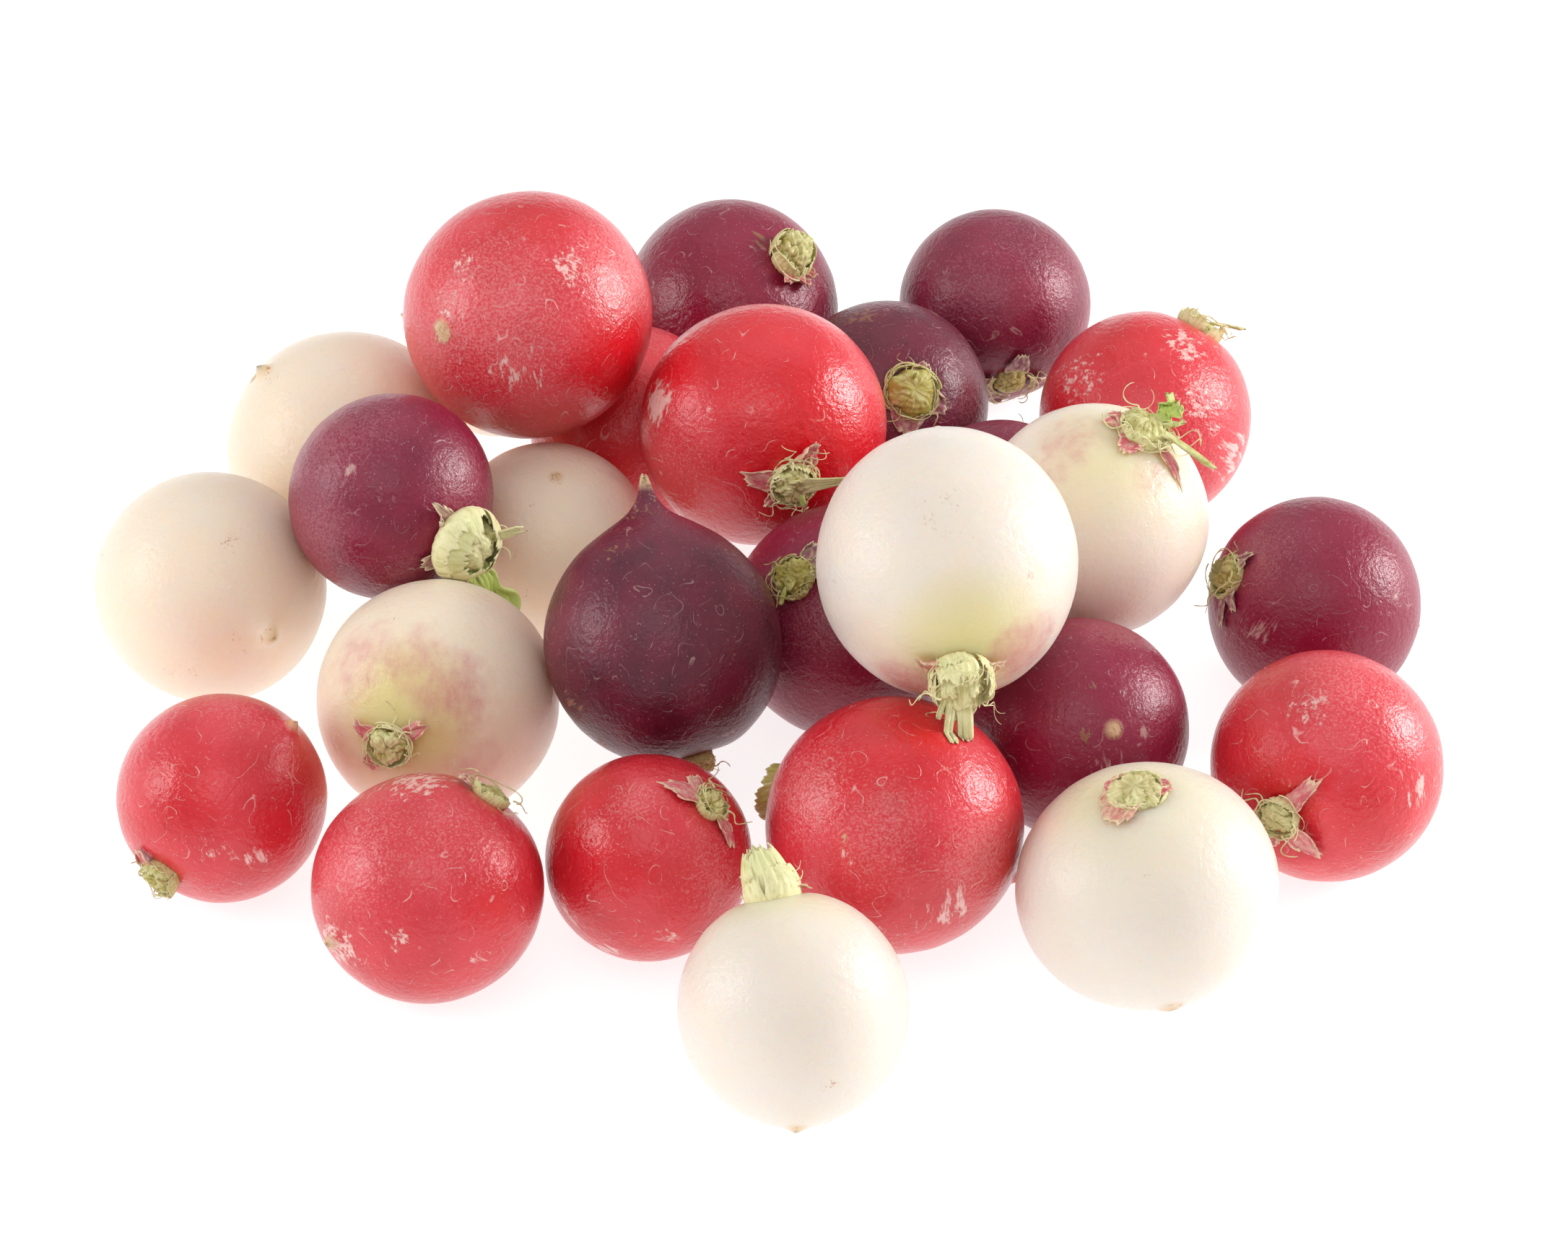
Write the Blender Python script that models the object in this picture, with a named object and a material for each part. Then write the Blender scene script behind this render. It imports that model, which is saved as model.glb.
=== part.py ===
"""A loose bunch of topped radishes, built as separate roots that rest on a table and on each other.

Red, white and purple radishes lie in a low heap. Each root is one swollen body with its own tail.
Each crown is the bundle of cut leaf bases left on top of its root. The bunch stands on z = 0, its
bounding box is centred on x = y = 0, and all lengths are metres.
"""

import math
import random
from dataclasses import dataclass

import bmesh
import bpy
from mathutils import Matrix, Quaternion, Vector
from mathutils.bvhtree import BVHTree

MM = 0.001

CLEARANCE = 0.3 * MM  # gap kept between pieces that touch
CONTACT_SINK = 0.3 * MM  # depth of the flat pressed into a root by the table
DROP_STEP = 1.0 * MM  # step of the search for the height at which a root comes to rest
DROP_HALVINGS = 9  # halvings of the last step, which place the root within microns
DROP_START = 75.0 * MM  # height above which no root lies

ROOT_SIDES = 16  # faces around a root
ROOT_RINGS = (28, 48, 68, 88, 108, 128, 146, 162)  # degrees from the crown
ROOT_LUMPS = 3  # waves that make a root uneven
ROOT_LUMP_SIZE = 0.007  # height of one wave, as a share of the root's radius

TAIL_BASE_RADIUS = 1.9 * MM
TAIL_TIP_RADIUS = 0.9 * MM
TAIL_BEND_START = 0.1  # share of the half length, below the middle, where the bend begins
TAIL_BEND_END = 0.85  # share of the half length where the bend is complete

CROWN_SIDES = 10
CROWN_RADIUS_SHARE = 0.21  # radius of the leaf bases, as a share of the root's radius
CROWN_SEAT_MARGIN = 1.12  # radius of the flat seat under the leaf bases, over their own radius
CROWN_WAIST = 0.92  # radius of the leaf bases halfway up, over their radius at the seat
CROWN_MOUTH = 1.08  # radius at the cut end, over the radius at the seat
CROWN_RAGGED = 0.22  # how unevenly the cut end is torn, as a share of its length
CROWN_HOLLOW = 0.72  # height of the middle of the cut end, as a share of the length

RED_SKIN = (0.52, 0.022, 0.035, 1.0)
PURPLE_SKIN = (0.11, 0.012, 0.045, 1.0)
WHITE_SKIN = (0.88, 0.82, 0.70, 1.0)
LEAF_BASE = (0.46, 0.50, 0.20, 1.0)
SKIN_ROUGHNESS = 0.42
LEAF_ROUGHNESS = 0.6


@dataclass(frozen=True)
class Radish:
    """One radish: where it lies in mm, its size in mm, and where its two ends point in degrees.

    crown and tail are (azimuth, elevation) pairs. stretch is the length over the width.
    """

    variety: str
    number: int
    x: float
    y: float
    width: float
    stretch: float
    crown: tuple
    tail: tuple
    tail_length: float
    crown_length: float

    @property
    def radius(self):
        return self.width / 2 * MM

    @property
    def half_length(self):
        return self.radius * self.stretch

    @property
    def seat_radius(self):
        return self.radius * CROWN_RADIUS_SHARE * CROWN_SEAT_MARGIN

    @property
    def seat_height(self):
        return self.half_length * math.sqrt(1 - (self.seat_radius / self.radius) ** 2)


# The lower layer comes first, because each radish comes to rest on those before it.
HEAP = (
    Radish("purple", 1, 1, 91, 38.5, 0.96, (-25, 50), (160, -40), 2.0, 4.0),
    Radish("purple", 2, 48, 94, 34.0, 1.00, (-80, -20), (105, 15), 2.0, 3.5),
    Radish("purple", 3, 28, 62, 36.0, 1.02, (-72, 42), (108, -30), 2.5, 3.5),
    Radish("red", 3, 73, 58, 36.5, 1.02, (46, 42), (-134, -30), 2.0, 5.0),
    Radish("white", 1, -64, 45, 41.0, 1.00, (-4, -35), (178, 50), 1.5, 4.0),
    Radish("white", 2, -85, 9, 38.0, 1.02, (123, 5), (-57, 10), 2.0, 5.0),
    Radish("white", 3, -29, 23, 34.0, 1.06, (110, -30), (-68, 76), 1.5, 3.0),
    Radish("purple", 6, 21, -1, 39.0, 1.01, (-137, 52), (40, -40), 2.5, 2.5),
    Radish("purple", 7, 58, -27, 35.8, 1.00, (108, -20), (-72, 38), 0.8, 4.0),
    Radish("purple", 8, 98.5, 6, 35.6, 0.98, (-169, 29), (9, -20), 3.0, 2.5),
    Radish("purple", 9, 47, 33, 32.0, 1.00, (88, 10), (-95, -20), 1.5, 3.5),
    Radish("red", 4, 97, -37, 37.5, 0.96, (-120, 8), (50, 5), 2.5, 2.5),
    Radish("red", 5, -79, -43, 33.2, 1.00, (-124, -18), (8, 49), 2.5, 5.5),
    Radish("red", 6, -45, -65, 36.0, 1.00, (35, 47), (-139, 0), 2.0, 4.0),
    Radish("red", 7, -11, -57, 32.0, 1.04, (-14, 51), (166, -40), 2.0, 4.0),
    Radish("red", 8, 27.5, -54, 40.5, 1.01, (150, -5), (-6, -25), 3.0, 4.5),
    Radish("red", 9, -16, 57, 35.0, 1.00, (30, 5), (-150, -20), 2.0, 4.0),
    Radish("white", 6, -45.5, -22, 39.0, 1.03, (-110, 16), (70, 0), 2.0, 4.0),
    Radish("white", 7, 12, -93, 35.0, 1.02, (107, 50), (-89, -30), 7.0, 8.0),
    Radish("white", 8, 67, -67, 40.5, 0.90, (146, 80), (-80, -30), 1.5, 4.0),
    Radish("white", 9, -40, 82.5, 31.0, 1.03, (0, -15), (178, 23), 2.5, 4.0),
    Radish("red", 1, -32.5, 44.5, 41.2, 1.00, (60, 15), (-132, 21), 1.2, 3.0),
    Radish("red", 2, 7, 33, 41.0, 0.92, (-75, 3), (120, 55), 1.0, 3.0),
    Radish("white", 5, 61, 7, 37.5, 1.03, (6, 66), (-174, -50), 2.0, 4.5),
    Radish("purple", 5, -9, -22, 38.0, 1.04, (-65, -46), (100, 49), 9.0, 3.5),
    Radish("purple", 4, -54, 9, 34.0, 0.97, (-44, 0), (149, 31), 2.0, 5.5),
    Radish("white", 4, 36, -27, 41.0, 1.08, (-85, -14), (95, 45), 2.5, 8.0),
)


def clear_scene():
    """Remove every object that is in the file at the start."""
    for item in list(bpy.data.objects):
        bpy.data.objects.remove(item, do_unlink=True)


def principled(name, color, roughness):
    """Return a plain material of one colour."""
    material = bpy.data.materials.new(name)
    material.use_nodes = True
    shader = material.node_tree.nodes["Principled BSDF"]
    shader.inputs["Base Color"].default_value = color
    shader.inputs["Roughness"].default_value = roughness
    shader.inputs["Metallic"].default_value = 0.0
    return material


def direction(angles):
    """Return the unit vector at an (azimuth, elevation) pair in degrees."""
    azimuth = math.radians(angles[0])
    elevation = math.radians(angles[1])
    flat = math.cos(elevation)
    return Vector((flat * math.cos(azimuth), flat * math.sin(azimuth), math.sin(elevation)))


def smooth_step(value, start, end):
    """Return 0 before start, 1 after end, and a smooth rise between them."""
    share = min(1.0, max(0.0, (value - start) / (end - start)))
    return share * share * (3 - 2 * share)


def ring(radius, height, sides):
    """Return the points of a level circle."""
    angles = [2 * math.pi * i / sides for i in range(sides)]
    return [Vector((radius * math.cos(a), radius * math.sin(a), height)) for a in angles]


def root_rings(radish):
    """Return the rings of a root from its crown seat to the end of its tail."""
    rings = [ring(radish.seat_radius, radish.seat_height, ROOT_SIDES)]
    for degrees in ROOT_RINGS:
        angle = math.radians(degrees)
        radius = radish.radius * math.sin(angle)
        rings.append(ring(radius, radish.half_length * math.cos(angle), ROOT_SIDES))
    rings.append(ring(TAIL_BASE_RADIUS, -radish.half_length, ROOT_SIDES))
    end = radish.half_length + radish.tail_length * MM
    rings.append(ring(TAIL_TIP_RADIUS, -end, ROOT_SIDES))
    return rings


def bend_tail(point, radish, turn):
    """Turn a point of the lower half about the root's middle, so that the tail leans its own way."""
    depth = -point.z / radish.half_length
    share = smooth_step(depth, TAIL_BEND_START, TAIL_BEND_END)
    return Quaternion().slerp(turn, share) @ point


def make_lumps(random_source):
    """Return the waves of an uneven root, each as a direction and a phase."""
    lumps = []
    for _ in range(ROOT_LUMPS):
        pull = [random_source.gauss(0.0, 1.0) for _ in range(3)]
        lumps.append((Vector(pull).normalized() * math.pi, random_source.uniform(0, 2 * math.pi)))
    return lumps


def swell(point, lumps):
    """Move a point of a root in or out by the waves that make it uneven."""
    outward = point.normalized()
    waves = sum(math.sin(pull.dot(outward) + phase) for pull, phase in lumps)
    return point * (1 + ROOT_LUMP_SIZE * waves)


def skin_over(mesh, rings, top, bottom):
    """Join rings into one closed body with a point at each end."""
    loops = [[mesh.verts.new(point) for point in loop] for loop in rings]
    first = mesh.verts.new(top)
    last = mesh.verts.new(bottom)
    sides = len(loops[0])
    for i in range(sides):
        j = (i + 1) % sides
        mesh.faces.new((first, loops[0][i], loops[0][j]))
        mesh.faces.new((last, loops[-1][j], loops[-1][i]))
    for upper, lower in zip(loops, loops[1:]):
        for i in range(sides):
            j = (i + 1) % sides
            mesh.faces.new((upper[i], lower[i], lower[j], upper[j]))


def root_mesh(radish, random_source):
    """Return the swollen root, its crown along +Z, as a closed bmesh."""
    own_frame = facing(radish)
    tail_way = own_frame.inverted() @ direction(radish.tail)
    turn = Vector((0, 0, -1)).rotation_difference(tail_way)
    lumps = make_lumps(random_source)

    def shaped(point):
        if point.z > radish.seat_height - CLEARANCE:
            return point
        return swell(bend_tail(point, radish, turn), lumps)

    rings = [[shaped(point) for point in loop] for loop in root_rings(radish)]
    end = Vector((0, 0, -radish.half_length - (radish.tail_length * MM + TAIL_TIP_RADIUS / 2)))
    mesh = bmesh.new()
    skin_over(mesh, rings, Vector((0, 0, radish.seat_height)), shaped(end))
    return mesh


def crown_mesh(radish, random_source):
    """Return the bundle of cut leaf bases on the crown, as a closed bmesh."""
    radius = radish.radius * CROWN_RADIUS_SHARE
    length = radish.crown_length * MM
    foot = radish.seat_height + CLEARANCE
    mouth = ring(radius * CROWN_MOUTH, foot + length, CROWN_SIDES)
    for point in mouth:
        point.z -= length * random_source.uniform(0, CROWN_RAGGED)
    rings = [
        mouth,
        ring(radius * CROWN_WAIST, foot + length / 2, CROWN_SIDES),
        ring(radius, foot, CROWN_SIDES),
    ]
    mesh = bmesh.new()
    skin_over(mesh, rings, Vector((0, 0, foot + length * CROWN_HOLLOW)), Vector((0, 0, foot)))
    return mesh


def facing(radish):
    """Return the rotation that points a root's crown its own way."""
    return direction(radish.crown).to_track_quat("Z", "Y")


def grown(mesh, radish):
    """Return the turned points of a mesh, moved out by the clearance, and its faces."""
    turn = facing(radish)
    mesh.normal_update()
    mesh.verts.index_update()
    points = [turn @ (vert.co + vert.normal * CLEARANCE) for vert in mesh.verts]
    faces = [[vert.index for vert in face.verts] for face in mesh.faces]
    return points, faces


def tree_at(shape, offset):
    """Return a search tree of a (points, faces) shape moved by an offset."""
    points, faces = shape
    return BVHTree.FromPolygons([point + offset for point in points], faces)


def touches(shapes, offset, trees):
    """Tell whether any shape, moved by the offset, meets any tree."""
    moved = [tree_at(shape, offset) for shape in shapes]
    return any(own.overlap(other) for own in moved for other in trees)


def resting_height(shapes, radish, trees):
    """Return the height at which a radish, let down from above, first meets what lies below."""
    lowest = min(point.z for points, _ in shapes for point in points)
    floor = -lowest - CLEARANCE - CONTACT_SINK

    def blocked(height):
        offset = Vector((radish.x * MM, radish.y * MM, height))
        return touches(shapes, offset, trees)

    height = DROP_START
    while height > floor and not blocked(height):
        height -= DROP_STEP
    if height <= floor and not blocked(floor):
        return floor
    low, high = height, height + DROP_STEP
    for _ in range(DROP_HALVINGS):
        middle = (low + high) / 2
        low, high = (middle, high) if blocked(middle) else (low, middle)
    return high


def press_flat(mesh, place):
    """Cut off what lies below the table and close the cut with a flat face."""
    to_local = place.inverted()
    up = to_local.to_3x3() @ Vector((0, 0, 1))
    everything = list(mesh.verts) + list(mesh.edges) + list(mesh.faces)
    cut = bmesh.ops.bisect_plane(
        mesh,
        geom=everything,
        plane_co=to_local @ Vector((0, 0, 0)),
        plane_no=up.normalized(),
        clear_inner=True,
    )
    rim = [item for item in cut["geom_cut"] if isinstance(item, bmesh.types.BMEdge)]
    if rim:
        bmesh.ops.edgeloop_fill(mesh, edges=rim)
    bmesh.ops.recalc_face_normals(mesh, faces=mesh.faces)


def add_object(name, mesh, material, place, parent=None):
    """Put a finished bmesh into the scene as a named, smooth-shaded object."""
    data = bpy.data.meshes.new(name)
    mesh.to_mesh(data)
    mesh.free()
    data.materials.append(material)
    data.shade_smooth()
    item = bpy.data.objects.new(name, data)
    bpy.context.scene.collection.objects.link(item)
    item.rotation_mode = "QUATERNION"
    if parent is None:
        item.location = place.to_translation()
        item.rotation_quaternion = place.to_quaternion()
    else:
        item.parent = parent
    return item


def build_radish(radish, skin, leaf_base, trees):
    """Build one root and its crown where they come to rest, and add them to the trees."""
    random_source = random.Random(f"{radish.variety} {radish.number}")
    root = root_mesh(radish, random_source)
    crown = crown_mesh(radish, random_source)
    shapes = [grown(root, radish), grown(crown, radish)]
    height = resting_height(shapes, radish, trees)
    offset = Vector((radish.x * MM, radish.y * MM, height))
    trees.extend(tree_at(shape, offset) for shape in shapes)
    place = Matrix.Translation(offset) @ facing(radish).to_matrix().to_4x4()
    press_flat(root, place)
    label = f"{radish.variety}_{{}}_{radish.number}"
    body = add_object(label.format("root"), root, skin, place)
    add_object(label.format("crown"), crown, leaf_base, place, parent=body)
    return body


def centre_on_origin(roots):
    """Move the whole bunch so that its bounding box is centred on x = y = 0."""
    bpy.context.view_layer.update()
    pieces = [item for item in bpy.data.objects if item.type == "MESH"]
    corners = [item.matrix_world @ vert.co for item in pieces for vert in item.data.vertices]
    middle_x = (min(p.x for p in corners) + max(p.x for p in corners)) / 2
    middle_y = (min(p.y for p in corners) + max(p.y for p in corners)) / 2
    for root in roots:
        root.location.x -= middle_x
        root.location.y -= middle_y
    bpy.context.view_layer.update()


def main():
    """Build the bunch."""
    clear_scene()
    skins = {
        "red": principled("red_skin", RED_SKIN, SKIN_ROUGHNESS),
        "purple": principled("purple_skin", PURPLE_SKIN, SKIN_ROUGHNESS),
        "white": principled("white_skin", WHITE_SKIN, SKIN_ROUGHNESS),
    }
    leaf_base = principled("leaf_base", LEAF_BASE, LEAF_ROUGHNESS)
    trees = []
    roots = [build_radish(radish, skins[radish.variety], leaf_base, trees) for radish in HEAP]
    centre_on_origin(roots)


main()
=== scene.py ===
"""Looks of a loose bunch of topped radishes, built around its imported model.

Every root and every crown of the model is replaced by a finer piece in the same place. The sizes,
the places and the directions of the roots are read from the model, and this file adds what grows,
breaks and rubs on them: uneven flesh, tapering tails, cut leaf bases, papery scales, bloom, scuffs.
All lengths are metres unless a name ends in _mm.
"""

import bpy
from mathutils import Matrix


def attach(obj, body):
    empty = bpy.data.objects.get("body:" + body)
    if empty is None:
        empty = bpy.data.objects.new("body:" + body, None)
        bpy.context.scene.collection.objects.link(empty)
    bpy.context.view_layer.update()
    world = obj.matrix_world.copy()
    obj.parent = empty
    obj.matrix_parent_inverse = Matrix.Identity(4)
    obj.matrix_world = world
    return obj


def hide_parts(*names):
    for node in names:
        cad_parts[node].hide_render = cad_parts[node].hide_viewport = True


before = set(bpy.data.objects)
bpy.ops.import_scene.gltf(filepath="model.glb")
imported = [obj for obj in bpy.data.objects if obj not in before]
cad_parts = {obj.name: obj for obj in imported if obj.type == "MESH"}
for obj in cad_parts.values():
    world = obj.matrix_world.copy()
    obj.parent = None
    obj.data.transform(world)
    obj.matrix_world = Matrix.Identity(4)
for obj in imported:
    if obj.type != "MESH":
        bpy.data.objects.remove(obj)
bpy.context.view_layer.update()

import logging
import math
from dataclasses import dataclass, field
from enum import Enum

import bpy
import numpy as np
from mathutils import Vector

LOG = logging.getLogger("radishes")
MM = 0.001
FULL_TURN = 2 * math.pi

SEAT_SHARE = 0.972  # height of the skin under the leaf bases, over the root's half length

# The kinds of shader node that are used over and over.
READ, NOISE, BUMP = "ShaderNodeAttribute", "ShaderNodeTexNoise", "ShaderNodeBump"
RANGE, MATH, MIX = "ShaderNodeMapRange", "ShaderNodeMath", "ShaderNodeMix"


# ---------------------------------------------------------------- small tools


def linear(code: str) -> tuple[float, float, float, float]:
    """Turn an sRGB hex code into linear red, green, blue and an alpha of one.

    Args:
        code: six hex digits, such as "C41F2B".

    Returns:
        The linear colour.
    """
    parts = [int(code[i : i + 2], 16) / 255 for i in (0, 2, 4)]
    return (*((p / 12.92) if p <= 0.04045 else ((p + 0.055) / 1.055) ** 2.4 for p in parts), 1.0)


def add_node(
    tree: bpy.types.NodeTree,
    kind: str,
    inputs: dict | None = None,
    out: str | int = 0,
    **settings: object,
) -> bpy.types.NodeSocket:
    """Add a node with its settings, values and links.

    Args:
        tree: the node tree it goes in.
        kind: the node's type name.
        inputs: socket name or number to a value, or to the output socket linked to it.
        out: name or number of the output to return.
        settings: the node's own properties.

    Returns:
        The chosen output socket, which knows its node.
    """
    node = tree.nodes.new(kind)
    for name, value in settings.items():
        setattr(node, name, value)
    for key, value in (inputs or {}).items():
        if isinstance(value, bpy.types.NodeSocket):
            tree.links.new(value, node.inputs[key])
        else:
            node.inputs[key].default_value = value
    return node.outputs[out]


def ragged(
    tree: bpy.types.NodeTree,
    painted: bpy.types.NodeSocket,
    pattern: bpy.types.NodeSocket,
    bite: float,
    start: float,
    end: float,
) -> bpy.types.NodeSocket:
    """Return a painted mark with its edge bitten by a pattern.

    Args:
        tree: the node tree.
        painted: output of the painted value.
        pattern: output of the pattern, about 0.5 on average.
        bite: how far the pattern moves the edge.
        start: value where the mark begins.
        end: value where it is complete.

    Returns:
        The output that holds the mark, from 0 to 1.
    """
    shifted = add_node(tree, MATH, {0: pattern, 1: 0.5}, operation="SUBTRACT")
    moved = add_node(tree, MATH, {0: shifted, 1: bite, 2: painted}, operation="MULTIPLY_ADD")
    return add_node(tree, RANGE, {0: moved, 1: start, 2: end}, interpolation_type="SMOOTHSTEP")


def layered(tree: bpy.types.NodeTree, base: object, layers: tuple) -> bpy.types.NodeSocket:
    """Return colours laid over each other.

    Args:
        tree: the node tree.
        base: the lowest colour, as a linear colour or an output.
        layers: pairs from the bottom up: how much of a layer shows, and its hex colour or an output.

    Returns:
        The output that holds the colour.
    """
    for share, colour in layers:
        over = linear(colour) if isinstance(colour, str) else colour
        base = add_node(tree, MIX, {0: share, 6: base, 7: over}, 2, data_type="RGBA", blend_type="MIX")
    return base


def unit(azimuth: float, elevation: float) -> np.ndarray:
    """Return the unit vector at an azimuth and an elevation in degrees."""
    a, e = math.radians(azimuth), math.radians(elevation)
    return np.array([math.cos(e) * math.cos(a), math.cos(e) * math.sin(a), math.sin(e)])


def normalized(vectors: np.ndarray) -> np.ndarray:
    """Return vectors scaled to length one, along the last axis."""
    return vectors / np.maximum(np.linalg.norm(vectors, axis=-1, keepdims=True), 1e-12)


def smooth(value: np.ndarray | float, start: float, end: float) -> np.ndarray:
    """Return 0 before start, 1 after end, and a smooth rise between them."""
    share = np.clip((value - start) / (end - start), 0.0, 1.0)
    return share * share * (3 - 2 * share)


def axes_from(direction: np.ndarray) -> np.ndarray:
    """Return a rotation matrix whose third column is the direction."""
    return np.array(Vector(direction).to_track_quat("Z", "Y").to_matrix())


def turned_between(
    start: np.ndarray, end: np.ndarray, shares: np.ndarray, points: np.ndarray
) -> np.ndarray:
    """Turn points about the origin by a share of the turn that takes start to end.

    Args:
        start: unit vector before the turn.
        end: unit vector after the whole turn.
        shares: one share for each point, from 0 to 1.
        points: the points, one row each.

    Returns:
        The turned points.
    """
    axis = np.cross(start, end)
    sine = np.linalg.norm(axis)
    if sine < 1e-6:
        return points
    axis = axis / sine
    angle = (math.atan2(sine, float(np.dot(start, end))) * shares)[:, None]
    along = (points @ axis)[:, None] * axis
    return points * np.cos(angle) + np.cross(axis, points) * np.sin(angle) + along * (1 - np.cos(angle))


def waves(points: np.ndarray, rng: np.random.Generator, count: int, size: float) -> np.ndarray:
    """Return a smooth uneven value at each point, about -1 to 1.

    Args:
        points: positions, one row each.
        rng: source of the waves.
        count: how many waves are added up.
        size: length of a wave, in the points' unit.

    Returns:
        One value for each point.
    """
    total = np.zeros(len(points))
    for _ in range(count):
        pull = normalized(rng.normal(size=3)) * rng.uniform(0.7, 1.4) * 2 * math.pi / size
        total += np.sin(points @ pull + rng.uniform(0, FULL_TURN))
    return total / math.sqrt(count)


class Draft:
    """A mesh being put together from patches, with painted values at its points."""

    def __init__(self) -> None:
        """Start with no points and no faces."""
        self.points: list[np.ndarray] = []
        self.faces: list[list[int]] = []
        self.values: dict[str, list[np.ndarray]] = {}
        self.count = 0

    def add(self, points: np.ndarray, faces: list, values: dict[str, np.ndarray | float]) -> None:
        """Add a patch.

        Args:
            points: its points, one row each.
            faces: its faces, as lists of its own point numbers.
            values: painted values by name, one for each point or one for all.
        """
        for name in set(values) | set(self.values):
            old = self.values.setdefault(name, [np.zeros(self.count)] if self.count else [])
            new = values.get(name, 0.0)
            one_each = np.ndim(new) > 0
            old.append(np.asarray(new, float) if one_each else np.full(len(points), float(new)))
        self.faces.extend([index + self.count for index in face] for face in faces)
        self.points.append(points)
        self.count += len(points)

    def build(self, name: str, material: bpy.types.Material) -> bpy.types.Object:
        """Return the draft as a smooth-shaded object in the scene.

        Args:
            name: the object's name.
            material: its finish.

        Returns:
            The new object.
        """
        mesh = bpy.data.meshes.new(name)
        mesh.from_pydata(np.concatenate(self.points).tolist(), [], self.faces)
        for key, parts in self.values.items():
            data = np.concatenate(parts).astype(np.float32)
            kind = "FLOAT" if data.ndim == 1 else "FLOAT_VECTOR"
            store = mesh.attributes.new(key, kind, "POINT")
            store.data.foreach_set("value" if data.ndim == 1 else "vector", data.ravel())
        mesh.validate()
        mesh.shade_smooth()
        mesh.materials.append(material)
        piece = bpy.data.objects.new(name, mesh)
        bpy.context.scene.collection.objects.link(piece)
        return piece


def grid_faces(rows: int, columns: int, closed: bool) -> list[list[int]]:
    """Return the quads of a grid of points, row by row.

    Args:
        rows: number of rows.
        columns: number of points in a row.
        closed: whether the last column joins the first.

    Returns:
        The faces, as lists of point numbers.
    """
    faces = []
    for row in range(0, (rows - 1) * columns, columns):
        for c in range(columns if closed else columns - 1):
            d = (c + 1) % columns
            faces.append([row + c, row + d, row + columns + d, row + columns + c])
    return faces


def tube_faces(rows: int, sides: int) -> list[list[int]]:
    """Return the faces of rings of points, with a face over each end.

    Args:
        rows: number of rings.
        sides: number of points in a ring.

    Returns:
        The faces, as lists of point numbers.
    """
    ends = [list(range(sides))[::-1], list(range((rows - 1) * sides, rows * sides))]
    return grid_faces(rows, sides, True) + ends


def sheet_grid(rows: int, columns: int) -> tuple[np.ndarray, np.ndarray]:
    """Return coordinates over a sheet: 0 to 1 from its foot, and -1 to 1 across."""
    return tuple(np.meshgrid(np.linspace(0, 1, rows), np.linspace(-1, 1, columns), indexing="ij"))


def around(away: np.ndarray, angle: np.ndarray, height: np.ndarray) -> np.ndarray:
    """Return places from a distance to an axis, an angle round it and a height along it."""
    return np.stack([away * np.cos(angle), away * np.sin(angle), height], -1)


# ---------------------------------------------------------------- what lies on a root's skin


class Variety(Enum):
    """The three kinds of radish, by the colour of their skin."""

    RED = "red"
    PURPLE = "purple"
    WHITE = "white"


class Mark(Enum):
    """A kind of mark on the skin. Its value is the painted value that the finish reads."""

    WET = "wet"  # bloom rubbed or rinsed away, so the skin is darker and glossy
    BLOOM = "bloom"  # a thicker film of pale powder, and in places a painted sheen where the lamps' broad reflections fall
    SCUFF = "scuff"  # skin grazed through to the white flesh, in flecks
    SCAR = "scar"  # dry brown cork
    BLUSH = "blush"  # pink tinge in a white skin
    LEAFY = "leafy"  # yellow-green tinge where light reached the skin
    SPECK = "speck"  # tan pin-point stains
    DENT = "dent"  # a shallow hollow in the flesh


@dataclass(frozen=True)
class Spot:
    """One mark: its kind, where it lies as seen from the root's middle, and its reach in degrees."""

    mark: Mark
    azimuth: float
    elevation: float
    reach: float
    strength: float = 1.0

    def fall_off(self, outward: np.ndarray) -> np.ndarray:
        """Return the mark's strength at each outward unit vector."""
        away = np.degrees(np.arccos(np.clip(outward @ unit(self.azimuth, self.elevation), -1, 1)))
        return self.strength * np.clip(1 - (away / self.reach) ** 2, 0, 1)


@dataclass
class Ball:
    """The place and size of a root, read from its solid in the model."""

    centre: np.ndarray
    crown_way: np.ndarray
    tail_way: np.ndarray
    radius: float
    half_length: float
    seat: np.ndarray
    crown_radius: float

    @classmethod
    def read(cls, root: str, crown: str) -> "Ball":
        """Measure a root solid and its crown solid.

        A ball is fitted to the root without its tail first, which gives the middle.

        Args:
            root: name of the root's node.
            crown: name of the crown's node.

        Returns:
            The measured place and size.
        """
        body = np.array([v.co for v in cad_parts[root].data.vertices], float)
        top = np.array([v.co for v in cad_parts[crown].data.vertices], float)
        kept = body
        for _ in range(6):
            rows = np.c_[2 * kept, np.ones(len(kept))]
            answer = np.linalg.lstsq(rows, (kept**2).sum(1), rcond=None)[0]
            centre = answer[:3]
            reach = math.sqrt(answer[3] + centre @ centre)
            kept = body[np.abs(np.linalg.norm(body - centre, axis=1) - reach) < 1.3 * MM]
        crown_way = normalized(top.mean(0) - centre)
        rise = (top - centre) @ crown_way
        away = np.linalg.norm((top - centre) - rise[:, None] * crown_way, axis=1)
        outward = np.linalg.norm(body - centre, axis=1)
        side = (body - centre) @ crown_way
        across = np.linalg.norm((body - centre) - side[:, None] * crown_way, axis=1)
        flank = np.percentile(across, 97)
        deep = -side.min() if -side.min() < flank else flank
        egg = 1 / np.sqrt((across / outward / flank) ** 2 + (side / outward / deep) ** 2)
        tail = body[np.argmax(np.where(side < 0.2 * flank, outward / egg, 0))]
        return cls(
            centre=centre,
            crown_way=crown_way,
            tail_way=normalized(tail - centre),
            radius=float(flank),
            half_length=float(side.max()) / SEAT_SHARE,
            seat=centre + crown_way * side.max(),
            crown_radius=float(np.percentile(away, 80)),
        )


# ---------------------------------------------------------------- finishes


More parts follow.
